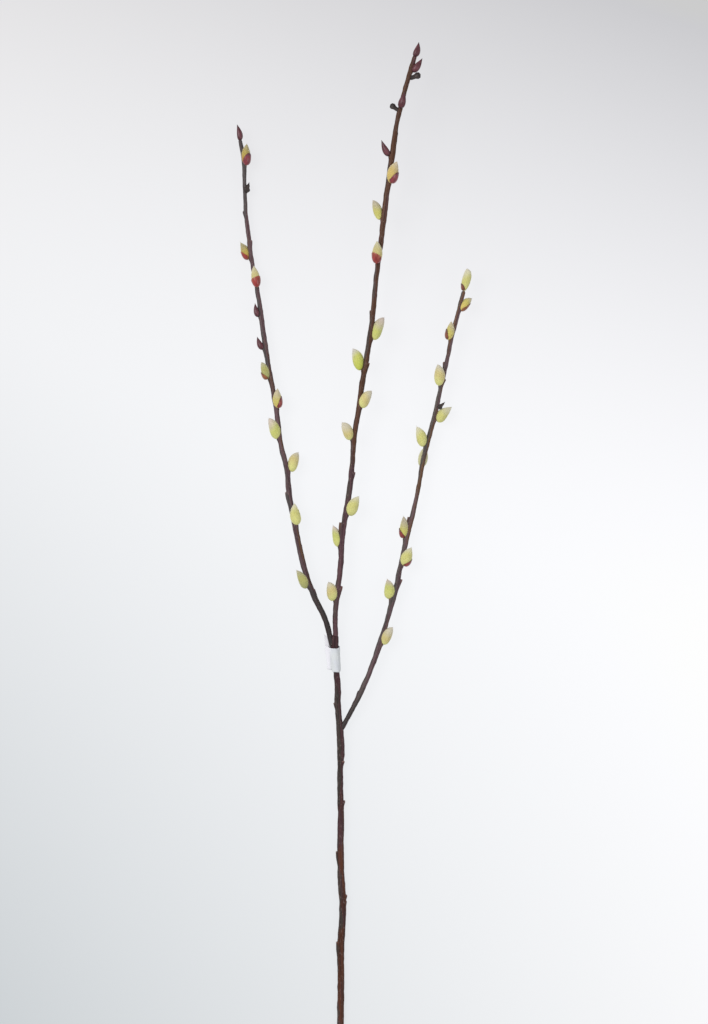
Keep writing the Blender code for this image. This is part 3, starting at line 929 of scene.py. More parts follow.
class Axis:
    """A smooth curve through a route, with a radius at every place along it."""

    samples = 24
    step = 0.002

    def __init__(self, route: Route) -> None:
        rows = np.array(route)
        rows = np.vstack([2 * rows[0] - rows[1], rows, 2 * rows[-1] - rows[-2]])
        t = np.linspace(0.0, 1.0, self.samples, endpoint=False)[:, None]
        dense = []
        for a, b, c, d in zip(rows, rows[1:], rows[2:], rows[3:]):
            bend = (2 * a - 5 * b + 4 * c - d) * t ** 2 + (3 * b - a - 3 * c + d) * t ** 3
            dense.append(0.5 * (2 * b + (c - a) * t + bend))
        self.rows = np.vstack([*dense, rows[-2:-1]])
        steps = np.linalg.norm(np.diff(self.rows[:, :3], axis=0), axis=1)
        self.along = np.concatenate([[0.0], np.cumsum(steps)])
        self.length = float(self.along[-1])

    def station(self, height: float) -> float:
        """Distance along the curve where it passes a height up the part."""
        return float(np.interp(height, self.rows[:, 1], self.along))

    def at(self, s: np.ndarray) -> tuple[np.ndarray, np.ndarray]:
        """Points and radii at distances along the curve, carried on straight past its ends."""
        inside = np.clip(s, 0.0, self.length)
        row = np.stack([np.interp(inside, self.along, self.rows[:, i]) for i in range(4)], axis=-1)
        beyond = np.asarray(s - inside)[..., None]
        return row[..., :3] + self.frame(inside)[0] * beyond, row[..., 3]

    def frame(self, s: np.ndarray) -> tuple[np.ndarray, np.ndarray, np.ndarray]:
        """Directions along the curve, to its right and up from it."""
        ends = []
        for shift in (-self.step, self.step):
            place = np.clip(s + shift, 0.0, self.length)
            ends.append(np.stack([np.interp(place, self.along, self.rows[:, i]) for i in range(3)], axis=-1))
        along = unit(ends[1] - ends[0])
        right = unit(np.cross(along, np.array([0.0, 0.0, 1.0])))
        return along, right, np.cross(right, along)


class Draft:
    """A mesh in the making: its points, faces and the values that its finish reads at each point."""

    def __init__(self) -> None:
        self.points: list[np.ndarray] = []
        self.faces: list[tuple[int, ...]] = []
        self.values: dict[str, list[np.ndarray]] = {}
        self.count = 0

    def add(self, points: np.ndarray, faces: Iterable[tuple[int, ...]], values: dict[str, np.ndarray]) -> None:
        """Add a closed form.

        Args:
            points: One row for each point.
            faces: Rows of the points of each face.
            values: Values at each point, by name.
        """
        self.faces += [tuple(i + self.count for i in face) for face in faces]
        self.points.append(points)
        for name, rows in values.items():
            self.values.setdefault(name, []).append(rows)
        self.count += len(points)

    def loft(self, rings: np.ndarray, foot: np.ndarray, tip: np.ndarray, values: dict[str, np.ndarray]) -> None:
        """Add a row of rings, closed by a pole at each end.

        Args:
            rings: Points by ring and by side.
            foot: The pole before the first ring.
            tip: The pole after the last ring.
            values: Values by ring and by side.
        """
        count, sides = rings.shape[:2]
        points = np.vstack([rings.reshape(-1, 3), foot, tip])
        faces = []
        for row in range(count - 1):
            for side in range(sides):
                after = (side + 1) % sides
                low, high = row * sides, (row + 1) * sides
                faces.append((low + side, low + after, high + after, high + side))
        first, last = count * sides, count * sides + 1
        top = (count - 1) * sides
        for side in range(sides):
            after = (side + 1) % sides
            faces.append((after, side, first))
            faces.append((top + side, top + after, last))
        spread = {name: self.with_poles(rows, count, sides) for name, rows in values.items()}
        self.add(points, faces, spread)

    @staticmethod
    def with_poles(rows: np.ndarray, count: int, sides: int) -> np.ndarray:
        """Spread values over every ring and give each pole the mean of its ring."""
        shape = (count, sides) + rows.shape[2:]
        full = np.broadcast_to(rows, shape)
        return np.concatenate([full.reshape(-1, *shape[2:]), full[0].mean(0)[None], full[-1].mean(0)[None]])

    def sheet(self, outer: np.ndarray, inner: np.ndarray, values: dict[str, np.ndarray]) -> None:
        """Add a thin shell between two grids of points, closed along its rim.

        Args:
            outer: Points by row and column.
            inner: The same grid on the other face.
            values: Values by row and column, the same on both faces.
        """
        rows, columns = outer.shape[:2]
        size = rows * columns
        faces = []
        for r in range(rows - 1):
            for c in range(columns - 1):
                quad = (r * columns + c, r * columns + c + 1, (r + 1) * columns + c + 1, (r + 1) * columns + c)
                faces.append(quad)
                faces.append(tuple(size + i for i in reversed(quad)))
        rim = [c for c in range(columns)]
        rim += [r * columns + columns - 1 for r in range(1, rows)]
        rim += [(rows - 1) * columns + c for c in range(columns - 2, -1, -1)]
        rim += [r * columns for r in range(rows - 2, 0, -1)]
        for a, b in zip(rim, rim[1:] + rim[:1]):
            faces.append((b, a, size + a, size + b))
        both = {}
        for name, grid in values.items():
            full = np.broadcast_to(grid, (rows, columns) + grid.shape[2:]).reshape(-1, *grid.shape[2:])
            both[name] = np.concatenate([full, full])
        self.add(np.vstack([outer.reshape(-1, 3), inner.reshape(-1, 3)]), faces, both)

    def build(self, name: str, material: bpy.types.Material) -> bpy.types.Object:
        """Make the object, smooth and with its faces pointing out.

        Args:
            name: The piece's name.
            material: Its finish.

        Returns:
            The object, at the origin.
        """
        mesh = bpy.data.meshes.new(name)
        mesh.from_pydata(np.vstack(self.points).tolist(), [], self.faces)
        kinds = {1: ("FLOAT", "value"), 3: ("FLOAT_VECTOR", "vector"), 4: ("FLOAT_COLOR", "color")}
        for label, blocks in self.values.items():
            rows = np.concatenate(blocks).astype(np.float32)
            kind, field_name = kinds[1 if rows.ndim == 1 else rows.shape[1]]
            mesh.attributes.new(label, kind, "POINT").data.foreach_set(field_name, rows.ravel())
        bm = bmesh.new()
        bm.from_mesh(mesh)
        bmesh.ops.recalc_face_normals(bm, faces=bm.faces)
        bm.to_mesh(mesh)
        bm.free()
        mesh.materials.append(material)
        mesh.shade_smooth()
        piece = bpy.data.objects.new(name, mesh)
        bpy.context.scene.collection.objects.link(piece)
        return piece


class GeometryTree:
    """A Geometry Nodes tree with named inputs, run once on a carrier and kept as a plain mesh."""

    def __init__(self, name: str) -> None:
        self.tree = bpy.data.node_groups.new(name, "GeometryNodeTree")
        self.graph = Graph(self.tree)
        self.tree.interface.new_socket("Geometry", in_out="INPUT", socket_type="NodeSocketGeometry")
        self.tree.interface.new_socket("Geometry", in_out="OUTPUT", socket_type="NodeSocketGeometry")
        self.entry = self.tree.nodes.new("NodeGroupInput")
        self.settings: dict[str, object] = {}

    def input(self, name: str, kind: str, value: object) -> Value:
        """Add a named input.

        Args:
            name: What the input is called.
            kind: Its socket's type.
            value: What it is set to on every carrier.

        Returns:
            The input, for use inside the tree.
        """
        item = self.tree.interface.new_socket(name, in_out="INPUT", socket_type=kind)
        self.settings[item.identifier] = value
        return Value(self.graph, self.entry.outputs[name])

    def carrier(self) -> Value:
        """The geometry that the tree is run on."""
        return Value(self.graph, self.entry.outputs["Geometry"])

    def named(self, name: str, kind: str) -> Value:
        """Read a named attribute of the carrier."""
        return self.graph.value("GeometryNodeInputNamedAttribute", {"data_type": kind}, {"Name": name})

    def close(self, geometry: Value, material: bpy.types.Material, lowest: float) -> None:
        """End the tree: make instances real, keep them off the floor and set the material.

        Args:
            geometry: What the tree has made.
            material: Its finish.
            lowest: Height that no point of it goes under.
        """
        g = self.graph
        finish = self.input("Finish", "NodeSocketMaterial", material)
        floor = self.input("Floor", "NodeSocketFloat", lowest)
        real = g.value("GeometryNodeRealizeInstances", None, {0: geometry})
        x, y, z = g.split(g.value("GeometryNodeInputPosition"))
        place = g.value("ShaderNodeCombineXYZ", None, {0: x, 1: y, 2: g.maths("MAXIMUM", z, floor)})
        raised = g.value("GeometryNodeSetPosition", None, {"Geometry": real, "Position": place})
        dressed = g.value("GeometryNodeSetMaterial", None, {"Geometry": raised, "Material": finish})
        g.node("NodeGroupOutput", None, {0: dressed})

    def grow(self, carrier: bpy.types.Object, name: str, round_off: bool = True) -> bpy.types.Object:
        """Run the tree on a carrier.

        Args:
            carrier: The object that it is run on, which stays as it was.
            name: Name of the new piece.
            round_off: Whether it is shaded smooth.

        Returns:
            The new piece, a plain mesh at the origin.
        """
        modifier = carrier.modifiers.new(name, "NODES")
        modifier.node_group = self.tree
        for identifier, value in self.settings.items():
            modifier[identifier] = value
        graph = bpy.context.evaluated_depsgraph_get()
        mesh = bpy.data.meshes.new_from_object(carrier.evaluated_get(graph))
        carrier.modifiers.remove(modifier)
        mesh.name = name
        if round_off:
            mesh.shade_smooth()
        piece = bpy.data.objects.new(name, mesh)
        bpy.context.scene.collection.objects.link(piece)
        return piece


@dataclass(frozen=True)
class Wrinkles:
    """Knobs and lengthwise wrinkles of the bark, raised along its normals."""

    height: float = 0.00024
    across: float = 620.0
    lengthwise: float = 26.0
    knob_height: float = 0.0013
    knobs_across: float = 170.0
    knobs_lengthwise: float = 120.0

    def tree(self, material: bpy.types.Material, lowest: float) -> GeometryTree:
        """Build the tree for one bark, which stays above the floor."""
        made = GeometryTree("bark_wrinkles")
        g = made.graph
        height = made.input("Height", "NodeSocketFloat", self.height)
        stretch = made.input("Stretch", "NodeSocketVector", (self.across, self.lengthwise, self.across))
        knob_height = made.input("Knob Height", "NodeSocketFloat", self.knob_height)
        knob_stretch = made.input("Knob Stretch", "NodeSocketVector",
                                  (self.knobs_across, self.knobs_lengthwise, self.knobs_across))
        straight = made.named("straight", "FLOAT_VECTOR")
        place = g.vector("MULTIPLY", straight, stretch)
        noise = g.value("ShaderNodeTexNoise", None, {"Vector": place, "Scale": 1.0, "Detail": 3.0})
        place = g.vector("MULTIPLY", straight, knob_stretch)
        knobs = g.value("ShaderNodeTexNoise", None, {"Vector": place, "Scale": 1.0, "Detail": 1.0})
        outward = g.value("GeometryNodeInputNormal")
        offset = g.scaled(outward, (noise - 0.5) * height + (knobs - 0.5) * knob_height)
        moved = g.value("GeometryNodeSetPosition", None, {"Geometry": made.carrier(), "Offset": offset})
        inputs = {"Geometry": moved, "Name": "ridge", "Value": noise}
        kept = g.value("GeometryNodeStoreNamedAttribute", {"data_type": "FLOAT", "domain": "POINT"}, inputs)
        made.close(kept, material, lowest)
        return made


@dataclass(frozen=True)
class Lenticels:
    """Small corky warts scattered over the bark."""

    density: float = 30000.0
    width: float = 0.00034
    height: float = 0.00012
    seed: int = 5

    def tree(self, material: bpy.types.Material, lowest: float) -> GeometryTree:
        """Build the tree."""
        made = GeometryTree("bark_lenticels")
        g = made.graph
        density = made.input("Density", "NodeSocketFloat", self.density)
        size = made.input("Size", "NodeSocketVector", (self.width, self.width * 0.6, self.height))
        seed = made.input("Seed", "NodeSocketInt", self.seed)
        inputs = {"Mesh": made.carrier(), "Density": density, "Seed": seed}
        dots = g.node("GeometryNodeDistributePointsOnFaces", None, inputs)
        wart = g.value("GeometryNodeMeshIcoSphere", None, {"Radius": 1.0, "Subdivisions": 2})
        turn = Value(g, dots.outputs["Rotation"])
        vary = g.value("FunctionNodeRandomValue", {"data_type": "FLOAT"}, {2: 0.6, 3: 1.3, "Seed": seed}, 1)
        scale = g.scaled(size, vary)
        points = Value(g, dots.outputs["Points"])
        inputs = {"Points": points, "Instance": wart, "Rotation": turn, "Scale": scale}
        placed = g.value("GeometryNodeInstanceOnPoints", None, inputs)
        made.close(placed, material, lowest)
        return made


@dataclass(frozen=True)
class Hairs:
    """Silky hairs that lie along a catkin and lift off it a little."""

    density: float = 1700000.0
    length: float = 0.0031
    radius: float = 0.000032
    lift: float = 0.18
    stray: float = 0.14
    curl: float = 0.12
    seed: int = 11

    def tree(self, material: bpy.types.Material, lowest: float) -> GeometryTree:
        """Build the tree."""
        made = GeometryTree("catkin_hairs")
        g = made.graph
        density = made.input("Density", "NodeSocketFloat", self.density)
        length = made.input("Length", "NodeSocketFloat", self.length)
        radius = made.input("Radius", "NodeSocketFloat", self.radius)
        lift = made.input("Lift", "NodeSocketFloat", self.lift)
        stray = made.input("Stray", "NodeSocketFloat", self.stray)
        curl = made.input("Curl", "NodeSocketFloat", self.curl)
        seed = made.input("Seed", "NodeSocketInt", self.seed)
        fur = made.named("fur", "FLOAT")
        inputs = {"Mesh": made.carrier(), "Density": density * fur, "Seed": seed}
        roots = g.node("GeometryNodeDistributePointsOnFaces", None, inputs)
        normal = Value(g, roots.outputs["Normal"])

        inputs = {"Vertices": 3, "Side Segments": 2, "Radius Top": 0.0, "Radius Bottom": radius,
                  "Depth": length}
        cone = g.value("GeometryNodeMeshCone", None, inputs)
        rise = g.split(g.value("GeometryNodeInputPosition"))[2]
        bend = (rise * rise) * curl * (-1.0 / self.length)
        offset = g.value("ShaderNodeCombineXYZ", None, {0: bend})
        hair = g.value("GeometryNodeSetPosition", None, {"Geometry": cone, "Offset": offset})

        sway = g.value("FunctionNodeRandomValue", {"data_type": "FLOAT_VECTOR"},
                       {0: (-1.0, -1.0, -1.0), 1: (1.0, 1.0, 1.0), "Seed": seed})
        lifted = g.scaled(normal, lift * made.named("loose", "FLOAT"))
        heading = g.vector("ADD", made.named("lay", "FLOAT_VECTOR"), lifted)
        heading = g.vector("ADD", heading, g.scaled(sway, stray))
        turn = g.value("FunctionNodeAlignRotationToVector", {"axis": "Z"}, {"Vector": heading})
        turn = g.value("FunctionNodeAlignRotationToVector", {"axis": "X", "pivot_axis": "Z"},
                       {"Rotation": turn, "Vector": normal})
        vary = g.value("FunctionNodeRandomValue", {"data_type": "FLOAT"}, {2: 0.55, 3: 1.15, "Seed": seed}, 1)
        scale = vary * made.named("reach", "FLOAT")
        inputs = {"Points": Value(g, roots.outputs["Points"]), "Instance": hair, "Rotation": turn,
                  "Scale": g.value("ShaderNodeCombineXYZ", None, {0: vary, 1: vary, 2: scale})}
        placed = g.value("GeometryNodeInstanceOnPoints", None, inputs)
        made.close(placed, material, lowest)
        return made


class Finishes:
    """Every material of the twig, built once."""

    def __init__(self) -> None:
        # The stem, left and right barks are darkened near a fork as painted shade.
        self.stem = BarkFinish("stem_bark_satin", fork_shade=0.32, fork_shade_low=-0.085, fork_shade_high=-0.150).build()
        self.middle = BarkFinish("middle_bark_satin", main="51383d", brown="4c3121", olive="423b36",
                                 brown_foot=0.25, brown_tip=0.66, foot=0.04, tip=0.11,
                                 olive_foot=0.42, olive_tip=0.35).build()
        self.left = BarkFinish("left_bark_satin", main="564245", brown="553c2c", olive="444140",
                               brown_foot=0.42, brown_tip=0.30, foot=0.29, tip=0.36,
                               olive_foot=0.37, olive_tip=0.75,
                               fork_shade=0.50, fork_olive=0.42, fork_shade_low=-0.070, fork_shade_high=0.010).build()
        self.right = BarkFinish("right_bark_satin", main="5a464a", brown="5e432f", olive="4a4643",
                                brown_foot=0.36, brown_tip=0.56, foot=-0.10, tip=0.12,
                                olive_foot=0.48, olive_tip=0.45,
                                fork_shade=0.50, fork_olive=0.15, fork_shade_low=-0.175, fork_shade_high=-0.120).build()
        self.lenticel = LenticelFinish().build()
        self.silk = SilkFinish().build()
        self.hair = HairFinish().build()
        self.cup = CupFinish().build()
        self.bud = BudFinish().build()
        self.stub = BudFinish("stub_satin", body="2c2523", blush="443834", tip="1d1817",
                              roughness=0.60).build()
        self.paper = PaperFinish().build()

    def bark(self, name: str) -> bpy.types.Material:
        """The bark of one shoot."""
        return {"middle": self.middle, "left": self.left, "right": self.right}[name]


def dress(piece: bpy.types.Object, slot: str, *nodes: str) -> bpy.types.Object:
    """Tie a finished piece to the twig and report it.

    Args:
        piece: The finished piece.
        slot: Not used.
        nodes: The nodes that it stands for.

    Returns:
        The piece.
    """
    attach(piece, "root")
    if nodes:
        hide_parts(*nodes)
    piece.data.calc_loop_triangles()
    LOG.info("%s: %d triangles", piece.name, len(piece.data.loop_triangles))
    return piece


@dataclass
class Bark:
    """The bark of the stem or of one shoot: a tube with ledges, cushions, scars and wrinkles."""

    name: str
    node: str
    route: Route
    spurs: tuple[Spur, ...]
    growths: tuple[Growth, ...]
    sides: int = 36
    ring_step: float = 0.0008
    root: float = 0.0
    flare: float = 0.0
    shoulder: float = 0.0016
    cushion_rise: float = 0.0007
    cushion_drop: float = 0.0015
    cushion_run: float = 0.007
    scar_rise: float = 0.00035
    scar_drop: float = 0.0010
    nominal: float = 0.003
    # The ledge rise that gives the full painted highlight at its top, and the width of that band.
    brow_rise: float = 0.0012
    brow_width: float = 0.0011
    lip: float = 0.5

    def ledges(self) -> list[Spur]:
        """Every ledge on the bark: its own, and a cushion with a leaf scar under each growth."""
        found = list(self.spurs)
        for growth in self.growths:
            found.append(Spur(growth.foot + self.cushion_drop, growth.turn, self.cushion_rise, self.cushion_run))
            found.append(Spur(growth.foot - self.scar_drop, growth.turn, self.scar_rise, 0.0016, 0.0010))
        return found

    def relief(self, axis: Axis, s: np.ndarray, degrees: np.ndarray) -> tuple[np.ndarray, np.ndarray]:
        """How far the bark stands proud along and round the tube, and how near it is to a ledge's top."""
        total = np.zeros(np.broadcast_shapes(s.shape, degrees.shape))
        brow = np.zeros_like(total)
        for spur in self.ledges():
            below = axis.station(spur.top) - s
            fall = np.where(below < 0.0, smooth(-spur.brow, 0.0, below), 1.0 - smooth(0.0, spur.run, below))
            facing = np.clip(np.cos(np.radians(degrees - spur.turn)), 0.0, None)
            total += spur.rise * fall * facing ** 2
            # Nearness to a ledge's top on the side that it faces: where the finish paints a highlight.
            brow += min(1.0, spur.rise / self.brow_rise) * facing ** 3 * np.exp(-(below / self.brow_width) ** 2)
        return total, np.clip(brow, 0.0, 1.0)

    def build(self, material: bpy.types.Material, lowest: float) -> bpy.types.Object:
        """Build the tube.

        Args:
            material: The bark's finish.
            lowest: Height of the surface that the twig lies on.

        Returns:
            The bark, a plain mesh with its wrinkles.
        """
        axis = Axis(self.route)
        count = round((axis.length + self.root) / self.ring_step)
        s = np.linspace(-self.root, axis.length, count)[:, None]
        degrees = np.linspace(0.0, 360.0, self.sides, endpoint=False)[None, :]
        centre, radius = axis.at(s[:, 0])
        along, right, up = axis.frame(s[:, 0])
        proud, brow = self.relief(axis, s, degrees)
        to_tip = np.clip(axis.length - s, 0.0, None)
        rounding = np.where(to_tip < self.shoulder,
                            np.sqrt(np.clip(1.0 - (1.0 - to_tip / self.shoulder) ** 2, 0.0, 1.0)), 1.0)
        flare = self.flare * np.exp(-np.clip(s, 0.0, None) / 0.006)
        reach = radius[:, None] - self.shoulder * 0.55 * (1.0 - rounding) + proud + flare
        turn = np.radians(degrees)
        side = (right[:, None] * np.cos(turn)[..., None] + up[:, None] * np.sin(turn)[..., None])
        rings = centre[:, None] + side * reach[..., None] + along[:, None] * (self.lip * proud[..., None])
        rings[..., 2] = np.maximum(rings[..., 2], lowest)
        straight = np.stack(np.broadcast_arrays(np.cos(turn) * self.nominal, s, np.sin(turn) * self.nominal), -1)
        draft = Draft()
        # scar carries the leaf scars' own colour; brow carries the painted highlight at the ledges' tops.
        values = {"straight": straight, "scar": np.clip(proud / 0.0016, 0.0, 1.0), "brow": brow}
        draft.loft(rings, centre[0], centre[-1], values)
        plain = draft.build(self.name + "_plain", material)
        piece = Wrinkles().tree(material, lowest).grow(plain, self.name + "_bark")
        bpy.data.objects.remove(plain)
        return dress(piece, "bark", self.node)


@dataclass(frozen=True)
class Egg:
    """Width along a catkin or bud by one formula: its widest place and how round its foot is."""

    widest: float
    roundness: float

    def width(self, share: np.ndarray) -> np.ndarray:
        """Share of the half width at shares of the length."""
        sharpness = self.roundness * (1.0 - self.widest) / self.widest
        return (share / self.widest) ** self.roundness * ((1.0 - share) / (1.0 - self.widest)) ** sharpness


@dataclass(frozen=True)
class Stance:
    """Where a growth stands: its foot, its long, outward and sideways directions, and its size."""

    foot: np.ndarray
    heading: np.ndarray
    out: np.ndarray
    across: np.ndarray
    length: float
    bow: float = 0.03

    @classmethod
    def of(cls, axis: Axis, growth: Growth, at_tip: bool = False) -> "Stance":
        """Work out the stance of a growth on its shoot."""
        s = np.array(axis.length if at_tip else axis.station(growth.foot))
        centre, _ = axis.at(s)
        along, right, up = axis.frame(s)
        turn = math.radians(growth.turn)
        lean = math.radians(growth.lean)
        out = right * math.cos(turn) + up * math.sin(turn)
        foot = centre + out * growth.out
        if at_tip:
            foot = centre - along * (axis.length - axis.station(growth.foot))
        heading = along * math.cos(lean) + out * math.sin(lean)
        outward = unit(out - heading * out.dot(heading))
        return cls(foot, heading, outward, np.cross(heading, outward), growth.length)

    def points(self, share: np.ndarray, angle: np.ndarray, radius: np.ndarray,
               sway: np.ndarray | float = 0.0) -> np.ndarray:
        """Points of the growth.

        Args:
            share: Shares of its length.
            angle: Angles from its outer side.
            radius: Distances from its middle line.
            sway: How far the middle line lies out from where its bow brings it.

        Returns:
            The points, in the shape of the arguments.
        """
        share, angle, radius, sway = (a[..., None] for a in np.broadcast_arrays(share, angle, radius, sway))
        middle = self.foot + self.heading * (self.length * share)
        middle = middle + self.out * (self.length * self.bow * np.sin(math.pi * share) + sway)
        return middle + (self.out * np.cos(angle) + self.across * np.sin(angle)) * radius

    def grain(self, share: np.ndarray, angle: np.ndarray, radius: float, shift: float) -> np.ndarray:
        """Straightened coordinates for a finish: round the growth and along it."""
        rows = (np.cos(angle) * radius, share * self.length + shift, np.sin(angle) * radius)
        return np.stack(np.broadcast_arrays(*rows), axis=-1)


def end_heavy(count: int) -> np.ndarray:
    """Shares of a length from near 0 to near 1 that lie closer at both ends."""
    steps = np.arange(1, count + 1) / (count + 1)
    return ((1.0 - np.cos(math.pi * steps)) / 2.0)[:, None]


@dataclass
class Catkins:
    """The catkins of one shoot, with their silk, hairs and cup scales."""

    name: str
    axis: Axis
    catkins: Sequence[Catkin]
    tip: Catkin | None
    lowest: float
    rings: int = 44
    sides: int = 30
    flick: float = 0.50
    slant: float = 0.16
    bract_rise: float = 0.00013
    bract_rows: float = 34.0
    cup_rows: int = 16
    cup_columns: int = 19
    cup_proud: float = 0.00035
    cup_thick: float = 0.00022
    cup_flare: float = 0.00035

    def stances(self) -> list[tuple[Catkin, Stance]]:
        """Every catkin with its stance."""
        found = [(catkin, Stance.of(self.axis, catkin)) for catkin in self.catkins]
        if self.tip:
            found.append((self.tip, Stance.of(self.axis, self.tip, True)))
        return [(catkin, replace(stance, bow=0.0)) for catkin, stance in found]

    def sway(self, catkin: Catkin, share: np.ndarray) -> np.ndarray:
        """How far a catkin's middle line lies out: in at its belly, and out at its corner of a tip."""
        egg = Egg(*catkin.form.value)
        corner = np.where(share > egg.widest, 1.0 - egg.width(share), 0.0)
        return self.flick * catkin.width / 2.0 * (corner - share)

    def tones(self, catkin: Catkin, share: np.ndarray, angle: np.ndarray, shift: float) -> np.ndarray:
        """Colour of the silk along and round a catkin, further to its tip's colour on one side."""
        foot, belly, tip = (np.array([*shade(code), 1.0]) for code in catkin.tone.value)
        place = share + self.slant * np.cos(angle - shift * 20.0) * np.sin(math.pi * share)
        low = smooth(0.05, 0.45, place)[..., None]
        high = smooth(0.45, 0.95, place)[..., None]
        return (foot * (1.0 - low) + belly * low) * (1.0 - high) + tip * high

    def body(self, draft: Draft, catkin: Catkin, stance: Stance, shift: float) -> None:
        """Add one catkin's body to the draft."""
        share = end_heavy(self.rings)
        angle = np.linspace(0.0, 2.0 * math.pi, self.sides, endpoint=False)[None, :]
        spiral = np.cos(5.0 * angle + self.bract_rows * share) * np.cos(8.0 * angle - self.bract_rows * share)
        bract = 0.5 + 0.5 * spiral
        ends = np.sin(math.pi * share) ** 0.5
        uneven = 1.0 + 0.03 * np.sin(2.0 * angle + 5.0 * share + shift * 40.0)
        radius = catkin.width / 2.0 * Egg(*catkin.form.value).width(share) * uneven
        radius = radius + self.bract_rise * (bract - 0.6) * ends
        rings = stance.points(share, angle, radius, self.sway(catkin, share))
        rings[..., 2] = np.maximum(rings[..., 2], self.lowest)
        slope = np.gradient(rings, axis=0)
        lay = unit(slope)
        covered = np.zeros_like(radius)
        if catkin.cup:
            across = ((np.degrees(angle) - catkin.side + 180.0) % 360.0 - 180.0) / catkin.span
            top = catkin.reach * self.arch(catkin, across)
            covered = (np.abs(across) < 1.0) * (share < top * 0.9)
        fur = smooth(0.02, 0.16, share) * (1.0 - 0.9 * covered)
        loose = 1.0 - 0.85 * smooth(0.55, 0.95, share)
        shape = radius.shape
        draft.loft(rings, stance.points(np.zeros(1), np.zeros(1), np.zeros(1))[0],
                   stance.points(np.ones(1), np.zeros(1), np.zeros(1))[0], {
            "grain": stance.grain(share, angle, 0.0045, shift),
            "tone": self.tones(catkin, share, angle, shift),
            "bract": bract,
            "along": np.broadcast_to(share, shape),
            "lay": lay,
            "fur": np.broadcast_to(fur, shape),
            "loose": np.broadcast_to(loose, shape),
            "reach": np.broadcast_to(0.70 + 0.35 * share, shape),
        })

    def arch(self, catkin: Catkin, across: np.ndarray) -> np.ndarray:
        """Height of a cup scale's edge from one hand (-1) to the other (1), as a share of its reach."""
        return 1.0 - catkin.drop * np.abs(across) ** 2.2 + catkin.skew * across

    def cup(self, draft: Draft, catkin: Catkin, stance: Stance, shift: float) -> None:
        """Add one catkin's cup scale to the draft."""
        up = np.linspace(0.0, 1.0, self.cup_rows)[:, None]
        across = np.linspace(-1.0, 1.0, self.cup_columns)[None, :]
        share = 0.012 + (catkin.reach - 0.012) * up * self.arch(catkin, across)
        narrowing = 0.75 + 0.25 * np.sin(math.pi * np.clip(up + 0.1, 0.0, 1.0))
        angle = np.radians(catkin.side + catkin.span * across * narrowing)
        edge = np.maximum(up, np.abs(across) ** 3)
        base = catkin.width / 2.0 * Egg(*catkin.form.value).width(share)
        proud = self.cup_proud + self.cup_flare * up ** 3 + 0.0002 * (1.0 - across ** 2) * (1.0 - up)
        sway = self.sway(catkin, share)
        outer = stance.points(share, angle, base + proud, sway)
        inner = stance.points(share, angle, base + proud - self.cup_thick, sway)
        for face in (outer, inner):
            face[..., 2] = np.maximum(face[..., 2], self.lowest)
        body, rim = (np.array([*shade(code), 1.0]) for code in catkin.cup.value)
        shape = outer.shape[:2]
        draft.sheet(outer, inner, {
            "grain": stance.grain(share, angle, 0.0045, shift),
            "tone": np.broadcast_to(body, shape + (4,)),
            "rim_tone": np.broadcast_to(rim, shape + (4,)),
            "edge": np.broadcast_to(edge, shape),
        })

    def build(self, finishes: Finishes, hairs: GeometryTree) -> None:
        """Build the bodies, hairs and cup scales."""
        bodies = Draft()
        cups = Draft()
        for number, (catkin, stance) in enumerate(self.stances()):
            shift = 0.37 * (number + 1)
            self.body(bodies, catkin, stance, shift)
            if catkin.cup:
                self.cup(cups, catkin, stance, shift)
        silk = bodies.build(self.name + "_catkins", finishes.silk)
        dress(hairs.grow(silk, self.name + "_catkin_hairs", False), "catkin")
        dress(silk, "catkin")
        if cups.count:
            dress(cups.build(self.name + "_cup_scales", finishes.cup), "cup_scale")


@dataclass
class Buds:
    """The closed buds of one shoot: each one pointed scale with a keel and a seam."""

    name: str
    axis: Axis
    buds: Sequence[Growth]
    tip: Growth | None
    rings: int = 34
    sides: int = 28
    egg: Egg = Egg(0.30, 0.52)
    keel: float = 0.00035
    seam: float = 0.00030
    flatness: float = 0.10

    def build(self, material: bpy.types.Material) -> None:
        """Build the buds as one piece."""
        draft = Draft()
        stances = [(bud, Stance.of(self.axis, bud)) for bud in self.buds]
        if self.tip:
            stances.append((self.tip, Stance.of(self.axis, self.tip, True)))
        share = end_heavy(self.rings)
        angle = np.linspace(0.0, 2.0 * math.pi, self.sides, endpoint=False)[None, :]
        for number, (bud, stance) in enumerate(stances):
            inner = np.clip(-np.cos(angle), 0.0, None)
            keel = self.keel * np.exp(-(angle - 2.0 * math.pi * (angle > math.pi)) ** 2 / 0.08)
            seam = self.seam * np.exp(-(angle - math.pi) ** 2 / 0.03)
            shape = bud.width / 2.0 * self.egg.width(share) * (1.0 - self.flatness * inner ** 2)
            radius = shape + (keel - seam) * np.sin(math.pi * share)
            rings = stance.points(share, angle, radius)
            draft.loft(rings, stance.points(np.zeros(1), np.zeros(1), np.zeros(1))[0],
                       stance.points(np.ones(1), np.zeros(1), np.zeros(1))[0], {
                "grain": stance.grain(share, angle, 0.003, 0.37 * (number + 1)),
                "along": np.broadcast_to(share, radius.shape),
            })
        dress(draft.build(self.name + "_buds", material), "bud")


